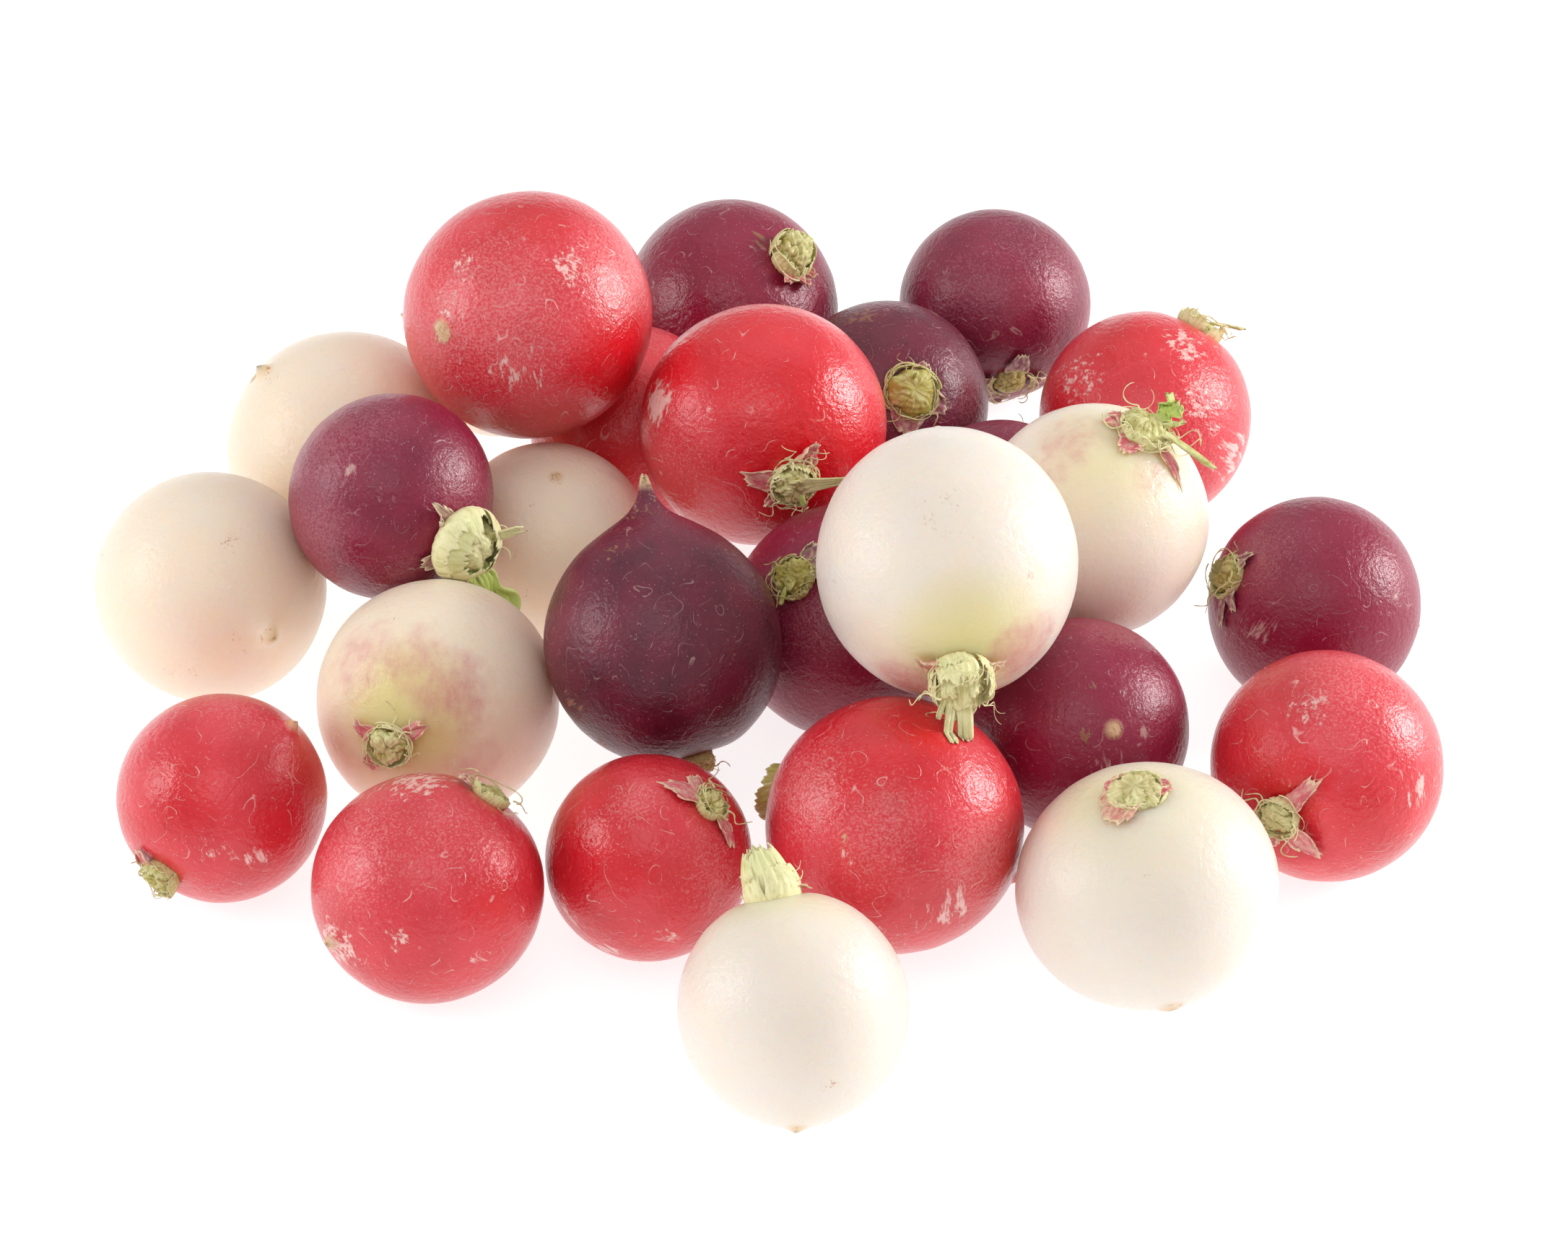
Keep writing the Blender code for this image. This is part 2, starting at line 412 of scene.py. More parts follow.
@dataclass(frozen=True)
class SkinFinish:
    """Living radish skin: a thin coloured layer over white flesh, waxy, with a powdery bloom whose pale
    colour is in places a painted sheen.

    Light enters the flesh a few millimetres and comes back, which softens the shading, and the wax
    gives a broad highlight that the skin's fine pebbling breaks into sparkles.
    """

    name: str
    deep: str  # skin in its darkest parts; on white roots, a warm clear colour painted on the roots that lie in shade
    bright: str  # skin in its clearest parts; on white roots, a cool dull colour painted on the lit roots
    bloom: str  # the powder, whose pale colour in places is a painted sheen of the lamps
    graze: str  # where the skin is grazed off
    cork: str  # scars
    bloom_share: float  # how much powder and painted sheen there is where nothing wiped it off
    graze_share: float  # how solid a graze looks
    roughness: float
    wet_roughness: float
    flesh_share: float  # share of the light that goes through the flesh
    flesh_reach_mm: tuple[float, float, float]  # how far red, green and blue light go in it
    dust_share: float  # strength of the loose pale dust dots
    wax: float  # weight of the clear wax over the skin

    # Sizes of the patterns on a real root. The finest is drawn a little coarse so that it shows.
    grain_mm = 0.42
    pebble_mm = 1.1
    patch_mm = 3.2
    cloud_mm = 11.0
    streak_mm = 1.1
    streak_stretch = 0.17  # how much finer streaks are across than along, as a scale
    hair_mm = 7.0
    hair_step = 0.09  # between two scratches, in the pattern's own value
    hair_width = 0.0055
    dust_cell_mm = 0.66
    dust_dot = (0.19, 0.08)  # where a dot begins and where it is solid, over its cell
    dust_count = 0.45  # share of the cells that have a dot
    tail_colour = "E6C294"
    ior = 1.42  # moist plant cells
    wax_ior = 1.45
    wax_roughness = 0.10

    def build(self) -> bpy.types.Material:
        """Return the skin's material."""
        material = bpy.data.materials.new(self.name)
        material.use_nodes = True
        tree = material.node_tree
        shader = tree.nodes["Principled BSDF"]
        parts = self.patterns(tree)
        relief = self.relief(tree, parts)
        for name, value in (
            ("Base Color", self.colour(tree, parts)),
            ("Roughness", self.gloss(tree, parts)),
            ("Normal", relief),
            ("Coat Normal", relief),
        ):
            tree.links.new(value, shader.inputs[name])
        for name, value in (
            ("Coat Weight", self.wax),
            ("Coat Roughness", self.wax_roughness),
            ("Coat IOR", self.wax_ior),
            ("IOR", self.ior),
            ("Subsurface Weight", self.flesh_share),
            ("Subsurface Radius", tuple(r * MM for r in self.flesh_reach_mm)),
            ("Subsurface Scale", 1.0),
        ):
            shader.inputs[name].default_value = value
        return material

    def patterns(self, tree: bpy.types.NodeTree) -> dict[str, bpy.types.NodeSocket]:
        """Add the patterns and the painted marks, and return their outputs by name.

        Args:
            tree: the material's node tree.

        Returns:
            Outputs by name.
        """
        place = add_node(tree, READ, out="Vector", attribute_name="skin_mm")
        parts = {}
        for name in [m.value for m in Mark if m is not Mark.DENT] + ["tone", "crown", "tail"]:
            parts[name] = add_node(tree, READ, out="Fac", attribute_name=name)
        along = {"Vector": place, "Rotation": (0.5, 0.9, 0.3), "Scale": (1.0, self.streak_stretch, 1.0)}
        drawn = add_node(tree, "ShaderNodeMapping", along)
        for name, vector, size, detail, rough in (
            ("grain", place, self.grain_mm, 2.0, 0.6),
            ("pebble", place, self.pebble_mm, 2.0, 0.5),
            ("patch", place, self.patch_mm, 3.0, 0.6),
            ("cloud", place, self.cloud_mm, 4.0, 0.6),
            ("streak", drawn, self.streak_mm, 4.0, 0.7),
            ("soft", place, self.hair_mm, 1.0, 0.4),
        ):
            inputs = {"Vector": vector, "Scale": 1 / size, "Detail": detail, "Roughness": rough}
            parts[name] = add_node(tree, NOISE, inputs, "Fac")
        parts["dust"] = self.dust(tree, place)
        parts["hair"] = self.hairlines(tree, parts)
        for name, mark, pattern, bite, start, end in (
            ("wet_edge", "wet", "patch", 1.1, 0.15, 0.85),
            ("graze", "scuff", "streak", 3.4, 0.62, 1.05),
            ("fleck", "bloom", "grain", 2.6, 0.55, 1.25),
            ("cork", "scar", "streak", 2.4, 0.55, 0.75),
        ):
            parts[name] = ragged(tree, parts[mark], parts[pattern], bite, start, end)
        return parts

    def dust(self, tree: bpy.types.NodeTree, place: bpy.types.NodeSocket) -> bpy.types.NodeSocket:
        """Return loose pale dots, one in some of the cells of a pattern.

        Args:
            tree: the material's node tree.
            place: output of the place on the skin, in millimetres.

        Returns:
            Output that is 1 on a dot.
        """
        inputs = {"Vector": place, "Scale": 1 / self.dust_cell_mm, "Randomness": 1.0}
        distance = add_node(tree, "ShaderNodeTexVoronoi", inputs, "Distance")
        small = add_node(tree, RANGE, {0: distance, 1: self.dust_dot[0], 2: self.dust_dot[1]})
        colour = distance.node.outputs["Color"]
        chance = add_node(tree, "ShaderNodeSeparateColor", {"Color": colour}, "Red")
        chosen = add_node(tree, MATH, {0: chance, 1: self.dust_count}, operation="LESS_THAN")
        return add_node(tree, MATH, {0: small, 1: chosen}, operation="MULTIPLY")

    def hairlines(self, tree: bpy.types.NodeTree, parts: dict) -> bpy.types.NodeSocket:
        """Return fine curved scratches: thin level lines of a soft pattern, cut into short lengths.

        Args:
            tree: the material's node tree.
            parts: outputs of the patterns and the painted marks, by name.

        Returns:
            Output that is 1 on a scratch.
        """
        steps = add_node(tree, MATH, {0: parts["soft"], 1: self.hair_step}, operation="PINGPONG")
        line = add_node(tree, RANGE, {0: steps, 1: self.hair_width, 2: 0.0, 3: 0.0, 4: 1.0})
        kept = add_node(tree, RANGE, {0: parts["patch"], 1: 0.50, 2: 0.60})
        return add_node(tree, MATH, {0: line, 1: kept}, operation="MULTIPLY")

    def powder_and_sheen(self, tree: bpy.types.NodeTree, parts: dict) -> bpy.types.NodeSocket:
        """Return how much bloom lies at each point: pale powder, and in places painted sheen.

        Args:
            tree: the material's node tree.
            parts: outputs of the patterns and the painted marks, by name.

        Returns:
            Output from 0 to 1.
        """
        least, most = 0.35 * self.bloom_share, 1.25 * self.bloom_share
        clouds = add_node(tree, RANGE, {0: parts["cloud"], 1: 0.32, 2: 0.7, 3: least, 4: most})
        extra = add_node(tree, MATH, {0: parts["bloom"], 1: 0.30, 2: clouds}, operation="MULTIPLY_ADD")
        grainy = add_node(tree, RANGE, {0: parts["grain"], 1: 0.3, 2: 0.72, 3: 0.7, 4: 1.25})
        laid = add_node(tree, MATH, {0: extra, 1: grainy}, operation="MULTIPLY")
        dry = add_node(tree, RANGE, {0: parts["wet_edge"], 3: 1.0, 4: 0.12})
        return add_node(tree, MATH, {0: laid, 1: dry}, operation="MULTIPLY", use_clamp=True)

    def toned(self, tree: bpy.types.NodeTree, parts: dict, clouds: float) -> bpy.types.NodeSocket:
        """Return how far the skin is from its first colour to its second, with soft clouds.

        Args:
            tree: the material's node tree.
            parts: outputs of the patterns and the painted marks, by name.
            clouds: how far the clouds move the colour.

        Returns:
            Output from 0 to 1.
        """
        cloud = add_node(tree, RANGE, {0: parts["cloud"], 1: 0.3, 2: 0.7})
        # The root's tone value starts the mix. On white roots it is painted light and shade: high on
        # the roots in shade, low on the lit ones.
        inputs = {0: cloud, 1: clouds, 2: parts["tone"]}
        return add_node(tree, MATH, inputs, operation="MULTIPLY_ADD", use_clamp=True)

    def colour(self, tree: bpy.types.NodeTree, parts: dict) -> bpy.types.NodeSocket:
        """Return the colour of a pigmented skin.

        Args:
            tree: the material's node tree.
            parts: outputs of the patterns and the painted marks, by name.

        Returns:
            Output of the colour.
        """
        dust = add_node(tree, MATH, {0: parts["dust"], 1: self.dust_share}, operation="MULTIPLY")
        flecks, hairs, grazes = (
            add_node(tree, RANGE, {0: parts[name], 4: solid * self.graze_share})
            for name, solid in (("fleck", 0.24), ("hair", 0.75), ("graze", 1.0))
        )
        return layered(tree, linear(self.deep), (
            (self.toned(tree, parts, 0.45), self.bright),
            # Pale bloom: powder, and in places a painted sheen on the sides that face the lamps.
            (self.powder_and_sheen(tree, parts), self.bloom),
            (dust, self.graze),
            (flecks, self.graze),
            (hairs, self.graze),
            (grazes, self.graze),
            (add_node(tree, RANGE, {0: parts["tail"], 1: 0.35, 4: 0.9}), self.tail_colour),
            (add_node(tree, RANGE, {0: parts["cork"], 4: 0.85}), self.cork),
        ))

    def gloss(self, tree: bpy.types.NodeTree, parts: dict) -> bpy.types.NodeSocket:
        """Return the roughness: glossy where wet, dull where bloom and cork lie.

        Args:
            tree: the material's node tree.
            parts: outputs of the patterns and the painted marks, by name.

        Returns:
            Output of the roughness.
        """
        least, most = self.roughness - 0.06, self.roughness + 0.08
        grainy = add_node(tree, RANGE, {0: parts["grain"], 1: 0.3, 2: 0.7, 3: least, 4: most})
        dull = add_node(tree, MATH, {0: parts["cork"], 1: 0.3, 2: grainy}, operation="MULTIPLY_ADD")
        inputs = {0: parts["wet_edge"], 2: dull, 3: self.wet_roughness}
        return add_node(tree, MIX, inputs, data_type="FLOAT")

    def relief(self, tree: bpy.types.NodeTree, parts: dict) -> bpy.types.NodeSocket:
        """Return the normal of a finely pebbled skin with shallow grazes and raised cork.

        Args:
            tree: the material's node tree.
            parts: outputs of the patterns and the painted marks, by name.

        Returns:
            Output of the normal.
        """
        worn = add_node(tree, MATH, {0: parts["graze"], 1: parts["hair"]}, operation="ADD")
        normal = None
        for height, strength, depth_mm, sunk in (
            (parts["pebble"], 0.9, 0.22, False),
            (parts["grain"], 0.8, 0.11, False),
            (worn, 0.6, 0.10, True),
            (parts["cork"], 0.7, 0.15, False),
        ):
            inputs = {"Height": height, "Strength": strength, "Distance": depth_mm * MM}
            if normal is not None:
                inputs["Normal"] = normal
            normal = add_node(tree, BUMP, inputs, invert=sunk)
        return normal


@dataclass(frozen=True)
class WhiteSkin(SkinFinish):
    """Skin without pigment: the flesh shows through, tinged pink, green and tan in places."""

    blush_colour: str = "CF7F88"
    leafy_colour: str = "DFD48E"
    stain_colour: str = "B9783C"
    tail_colour: str = "D8B07E"

    def colour(self, tree: bpy.types.NodeTree, parts: dict) -> bpy.types.NodeSocket:
        """Return the colour of an unpigmented skin.

        Args:
            tree: the material's node tree.
            parts: outputs of the patterns and the painted marks, by name.

        Returns:
            Output of the colour.
        """
        inputs = {0: parts["crown"], 1: 0.55, 2: parts["leafy"]}
        leafy = add_node(tree, MATH, inputs, operation="MULTIPLY_ADD")
        leafy = add_node(tree, RANGE, {0: leafy, 1: 0.05, 2: 1.2, 4: 0.85})
        blush = ragged(tree, parts["blush"], parts["patch"], 0.9, 0.12, 0.95)
        streaked = add_node(tree, RANGE, {0: parts["streak"], 1: 0.25, 2: 0.75, 3: 0.35, 4: 0.8})
        blush = add_node(tree, MATH, {0: blush, 1: streaked}, operation="MULTIPLY")
        broken = add_node(tree, RANGE, {0: parts["patch"], 1: 0.4, 2: 0.6, 3: -0.45, 4: 0.1})
        spotted = add_node(tree, MATH, {0: parts["speck"], 1: broken}, operation="ADD")
        stain = ragged(tree, spotted, parts["grain"], 2.4, 0.62, 1.1)
        # Painted light and shade: each root's tone value lays the warm deep colour over the cool bright
        # one, warm and clear on roots in shade, cool and dull on lit ones.
        return layered(tree, linear(self.bright), (
            (self.toned(tree, parts, 0.4), self.deep),
            (leafy, self.leafy_colour),
            (blush, self.blush_colour),
            (add_node(tree, RANGE, {0: stain, 4: 0.6}), self.stain_colour),
            (add_node(tree, RANGE, {0: parts["tail"], 1: 0.2, 4: 0.75}), self.tail_colour),
            (add_node(tree, RANGE, {0: parts["cork"], 4: 0.8}), self.cork),
        ))


# Crimson skin: anthocyanin red over white flesh, with a thin pink-white bloom that is in places a
# painted sheen.
RED_SKIN = SkinFinish(
    "crimson_radish_skin",
    deep="AC0616", bright="DC0C1C", bloom="E65664", graze="F3C6BE", cork="DCB98E",
    bloom_share=0.25, graze_share=0.85, roughness=0.40, wet_roughness=0.28,
    flesh_share=0.10, flesh_reach_mm=(1.6, 0.35, 0.3), dust_share=0.35, wax=0.65,
)

# Wine skin: the same pigment, bluer and denser, so it is almost black in the shade.
PURPLE_SKIN = SkinFinish(
    "wine_radish_skin",
    deep="32041A", bright="860230", bloom="A4405C", graze="D2ACA4", cork="96644C",
    bloom_share=0.12, graze_share=0.6, roughness=0.42, wet_roughness=0.30,
    flesh_share=0.05, flesh_reach_mm=(1.2, 0.3, 0.4), dust_share=0.45, wax=0.35,
)

# White skin: no pigment, moist and clear, so the light wanders in the flesh. Its deep and bright
# colours are painted light and shade: the warm clear one on the roots that lie in shade, the cool dull
# one on the lit roots.
WHITE_SKIN = WhiteSkin(
    "white_radish_skin",
    deep="F4DFC4", bright="E7DFD5", bloom="FFFFFF", graze="FFFFFF", cork="BE9360",
    bloom_share=0.1, graze_share=0.4, roughness=0.38, wet_roughness=0.28,
    flesh_share=0.85, flesh_reach_mm=(12.0, 8.0, 5.0), dust_share=0.0, wax=0.30,
)


@dataclass(frozen=True)
class LeafBaseFinish:
    """Cut leaf stalk: wet green fibres that dry brown at the torn end, and papery scales."""

    name: str = "cut_leaf_base_tissue"
    pale: str = "F0EAB8"
    green: str = "ACA24A"
    fresh: str = "AEC456"
    dry: str = "A8884C"
    pink_paper: str = "D0606C"
    grey_paper: str = "86586A"
    paper_edge: str = "E2CBB2"
    rim: str = "F4ECC0"
    fibre_mm: float = 0.38
    fibre_stretch: float = 0.16  # how much finer fibres are across than along, as a scale
    patch_mm: float = 1.3
    ridge_mm: float = 0.14
    roughness: float = 0.45
    ior: float = 1.4  # moist plant cells

    def build(self) -> bpy.types.Material:
        """Return the tissue's material."""
        material = bpy.data.materials.new(self.name)
        material.use_nodes = True
        tree = material.node_tree
        shader = tree.nodes["Principled BSDF"]
        read = {
            name: add_node(tree, READ, out="Fac", attribute_name=name)
            for name in ("fresh", "dry", "paper", "grey", "pale", "rim")
        }
        place = add_node(tree, READ, out="Vector", attribute_name="fibre_mm")
        along = {"Vector": place, "Scale": (1.0, self.fibre_stretch, 1.0)}
        drawn = add_node(tree, "ShaderNodeMapping", along)
        patterns = []
        for vector, size, detail in ((drawn, self.fibre_mm, 3.0), (place, self.patch_mm, 4.0)):
            inputs = {"Vector": vector, "Scale": 1 / size, "Detail": detail, "Roughness": 0.65}
            patterns.append(add_node(tree, NOISE, inputs, "Fac"))
        fibre, patch = patterns
        pale = read["pale"]
        for pattern, depth, kept in ((fibre, 0.35, False), (patch, 0.3, True)):
            uneven = add_node(tree, RANGE, {0: pattern, 1: 0.3, 2: 0.7, 3: -depth, 4: depth})
            pale = add_node(tree, MATH, {0: uneven, 1: pale}, operation="ADD", use_clamp=kept)
        dried = ragged(tree, read["dry"], patch, 1.6, 0.2, 1.0)
        tint = layered(tree, linear(self.pink_paper), ((read["grey"], self.grey_paper),))
        edged = add_node(tree, RANGE, {0: patch, 1: 0.42, 2: 0.72, 4: 0.8})
        papery = layered(tree, tint, ((edged, self.paper_edge),))
        colour = layered(tree, linear(self.green), (
            (pale, self.pale),
            (add_node(tree, RANGE, {0: read["fresh"], 4: 0.85}), self.fresh),
            (add_node(tree, RANGE, {0: dried, 4: 0.85}), self.dry),
            (read["paper"], papery),
            (add_node(tree, MATH, {0: read["rim"], 1: 0.6}, operation="MULTIPLY"), self.rim),
        ))
        inputs = {"Height": fibre, "Strength": 0.7, "Distance": self.ridge_mm * MM}
        ridged = add_node(tree, BUMP, inputs)
        least, most = self.roughness - 0.1, self.roughness + 0.12
        rough = add_node(tree, RANGE, {0: fibre, 1: 0.3, 2: 0.7, 3: least, 4: most})
        for name, value in (("Base Color", colour), ("Normal", ridged), ("Roughness", rough)):
            tree.links.new(value, shader.inputs[name])
        shader.inputs["IOR"].default_value = self.ior
        return material


# ---------------------------------------------------------------- roots


@dataclass
class Root:
    """The swollen root: its flesh is uneven, sunk at the crown, and drawn out into the tail."""

    name: str
    ball: Ball
    seed: int
    # On white roots this tone value is painted light and shade.
    tone: float
    spots: tuple[Spot, ...] = ()
    taper_mm: float = 1.4  # how far the flesh is drawn out towards the tail
    taper_width_mm: float = 2.2
    rings: int = 104
    sides: int = 136
    crown_dip_mm: float = 1.1
    seat_share: float = 0.26  # radius of the dip under the leaf bases, over the root's radius
    lump_share: float = 0.012
    nub: tuple[float, float] = (0.9, 1.0)  # length and radius of the broken taproot, in mm

    def ring_angles(self) -> np.ndarray:
        """Return how far each ring is from the crown's pole, closer together towards the tail."""
        angle = np.linspace(0, math.pi, 2400)
        radius = self.ball.radius * np.sin(angle)
        step = np.hypot(np.diff(radius), np.diff(self.ball.half_length * np.cos(angle)))
        close = np.exp(-((radius[1:] / (3.2 * MM)) ** 2)) * (angle[1:] > math.pi / 2)
        length = np.r_[0, np.cumsum(step * (1 + 5 * close))]
        return np.interp(np.linspace(0, length[-1], self.rings), length, angle)

    def directions(self) -> np.ndarray:
        """Return the direction of every point, with the crown along +Z and one pole at the tail."""
        turn = np.linspace(0, FULL_TURN, self.sides, endpoint=False)
        angle = self.ring_angles()[1:-1, None]
        across = self.ball.radius * np.sin(angle)
        along = np.repeat(self.ball.half_length * np.cos(angle), self.sides, axis=1)
        rings = np.stack([across * np.cos(turn), across * np.sin(turn), along], -1).reshape(-1, 3)
        straight = normalized(np.vstack([rings, [[0, 0, 1], [0, 0, -1]]]))
        tail = axes_from(self.ball.crown_way).T @ self.ball.tail_way
        share = smooth(-straight[:, 2], -0.5, 0.95)
        return turned_between(np.array([0.0, 0.0, -1.0]), tail, share, straight)

    def reach(self, ways: np.ndarray) -> np.ndarray:
        """Return how far the plain body reaches along each direction."""
        across = np.hypot(ways[:, 0], ways[:, 1]) / self.ball.radius
        return 1 / np.hypot(across, ways[:, 2] / self.ball.half_length)

    def faces(self) -> list[list[int]]:
        """Return the faces that join the rings and close both ends."""
        rows = self.rings - 2
        faces = [face[::-1] for face in grid_faces(rows, self.sides, True)]
        top, bottom = rows * self.sides, rows * self.sides + 1
        last = (rows - 1) * self.sides
        for c in range(self.sides):
            d = (c + 1) % self.sides
            faces.append([top, c, d])
            faces.append([bottom, last + d, last + c])
        return faces

    def drawn_out(self, away: np.ndarray, rng: np.random.Generator) -> np.ndarray:
        """Return how far the flesh and the broken taproot stand out towards the tail.

        Args:
            away: distance of every point from the axis of the tail.
            rng: source of the unevenness of the break.

        Returns:
            Heights in metres, one for each point.
        """
        width = self.taper_width_mm * MM
        cone = np.exp(-np.sqrt((away / width) ** 2 + 0.04) + 0.2)
        peak = np.exp(-((away / (0.6 * width)) ** 2))
        flesh = 0.6 * cone + 0.4 * peak
        ring = np.linspace(0, FULL_TURN, self.sides, endpoint=False)
        turn = np.r_[np.tile(ring, self.rings - 2), 0.0, 0.0]
        uneven = np.r_[np.tile(rng.random(self.sides), self.rings - 2), 0.5, 0.5]
        length, radius = self.nub[0] * MM, self.nub[1] * MM
        torn = 1 - 0.35 * np.abs(np.sin(turn + rng.uniform(0, 6))) - 0.2 * uneven
        lobed = away * (1 + 0.12 * np.sin(3 * turn + rng.uniform(0, 6)) + 0.08 * np.sin(7 * turn))
        pith = np.exp(-((away / (0.35 * radius)) ** 2))
        stub = torn * smooth(lobed, 1.3 * radius, 0.15 * radius) - 0.2 * pith
        return self.taper_mm * MM * flesh + length * stub

    def build(self, material: bpy.types.Material) -> bpy.types.Object:
        """Return the root, in place.

        Args:
            material: its skin.

        Returns:
            The new object.
        """
        rng = np.random.default_rng(self.seed)
        way = axes_from(self.ball.crown_way)
        tail = way.T @ self.ball.tail_way
        ways = self.directions()
        local = ways * self.reach(ways)[:, None]
        spread = np.hypot(local[:, 0], local[:, 1]) / (self.ball.radius * self.seat_share)
        local[:, 2] -= np.where(local[:, 2] > 0, self.crown_dip_mm * MM * np.exp(-(spread**2)), 0)
        ahead = local @ tail
        away = np.linalg.norm(local - np.outer(ahead, tail), axis=1)
        drawn = np.where(ahead > 0, self.drawn_out(away, rng), 0)
        local += np.outer(drawn, tail)
        outward = normalized(local)
        size = self.ball.radius
        swell = self.lump_share * waves(outward, rng, 4, 3.2)
        swell += 0.22 * self.lump_share * waves(outward, rng, 6, 0.9)
        swell += 0.10 * self.lump_share * waves(outward, rng, 9, 0.32)
        world_out = outward @ way.T
        for spot in self.spots:
            if spot.mark is Mark.DENT:
                swell -= 0.05 * smooth(spot.fall_off(world_out), 0.0, 1.0)
        shaped = local * (1 + swell)[:, None]
        points = shaped @ way.T + self.ball.centre
        points[:, 2] = np.maximum(points[:, 2], 0.02 * MM)
        values = {"tone": self.tone, "skin_mm": shaped / MM + rng.uniform(-500, 500, 3)}
        for mark in Mark:
            if mark is not Mark.DENT:
                values[mark.value] = self.painted(mark, world_out)
        from_crown = np.linalg.norm(shaped - np.array([0, 0, self.ball.half_length]), axis=1)
        values["crown"] = np.exp(-((from_crown / (0.75 * size)) ** 2))
        tip = tail * (self.reach(tail[None])[0] + (self.taper_mm + 0.4 * self.nub[0]) * MM)
        reach = (0.6 + 0.8 * self.nub[1] + 0.3 * self.nub[0]) * MM
        values["tail"] = np.exp(-((np.linalg.norm(shaped - tip, axis=1) / reach) ** 2))
        torn_edge = np.exp(-(((away / (self.nub[1] * MM) - 0.9) / 0.25) ** 2)) * (ahead > 0)
        values["scar"] = np.maximum(values["scar"], 0.5 * torn_edge)
        draft = Draft()
        draft.add(points, self.faces(), values)
        return draft.build(self.name, material)

    def painted(self, mark: Mark, outward: np.ndarray) -> np.ndarray:
        """Return the strongest of the spots of one kind at each point.

        Args:
            mark: the kind of mark.
            outward: unit vectors from the middle, one row each.

        Returns:
            One value for each direction.
        """
        total = np.zeros(len(outward))
        for spot in self.spots:
            if spot.mark is mark:
                total = np.maximum(total, spot.fall_off(outward))
        return total


# ---------------------------------------------------------------- crowns


def clear_of(points: np.ndarray, balls: list[Ball], gap: float) -> np.ndarray:
    """Push points that lie inside a root out to just above its skin.

    Args:
        points: world positions, one row each.
        balls: the roots to stay out of.
        gap: how far above the skin a pushed point ends.

    Returns:
        The moved positions.
    """
    for ball in balls:
        way = axes_from(ball.crown_way)
        local = (points - ball.centre) @ way
        size = np.array([ball.radius, ball.radius, ball.half_length]) * 1.01 + gap
        depth = np.linalg.norm(local / size, axis=1)
        local = local / np.clip(depth, 0.3, 1.0)[:, None]
        points = local @ way.T + ball.centre
    return points


def seen(clock: float) -> np.ndarray:
    """Return the direction that a clock hand points, for one who looks at the bunch from the front.

    Args:
        clock: hour that the hand points to.

    Returns:
        A unit vector in the world.
    """
    turn, tilt = math.radians(90 - 30 * clock), math.radians(38)
    up = np.array([0.0, math.sin(tilt), math.cos(tilt)])
    return math.cos(turn) * np.array([1.0, 0.0, 0.0]) + math.sin(turn) * up


def shell(sheet: np.ndarray, thickness: np.ndarray | float) -> tuple[np.ndarray, list[list[int]]]:
    """Close a sheet of points into a thin solid.

    Args:
        sheet: a grid of points, rows by columns by three.
        thickness: the solid's thickness, one value or one for each point of the grid.

    Returns:
        The points, the sheet's own first and then the other side's, and the faces.
    """
    rows, columns = sheet.shape[:2]
    normal = normalized(np.cross(np.gradient(sheet, axis=1), np.gradient(sheet, axis=0)))
    depth = np.broadcast_to(np.asarray(thickness, float), (rows, columns))[..., None]
    points = np.vstack([sheet.reshape(-1, 3), (sheet - normal * depth).reshape(-1, 3)])
    size = rows * columns
    quads = grid_faces(rows, columns, False)
    faces = quads + [[a + size, d + size, c + size, b + size] for a, b, c, d in quads]
    numbers = np.arange(size).reshape(rows, columns)
    rim = np.r_[numbers[:, 0], numbers[-1, 1:], numbers[-2::-1, -1], numbers[0, -2:0:-1]].tolist()
    faces += [[a, b, b + size, a + size] for a, b in zip(rim, rim[1:] + rim[:1])]
    return points, faces


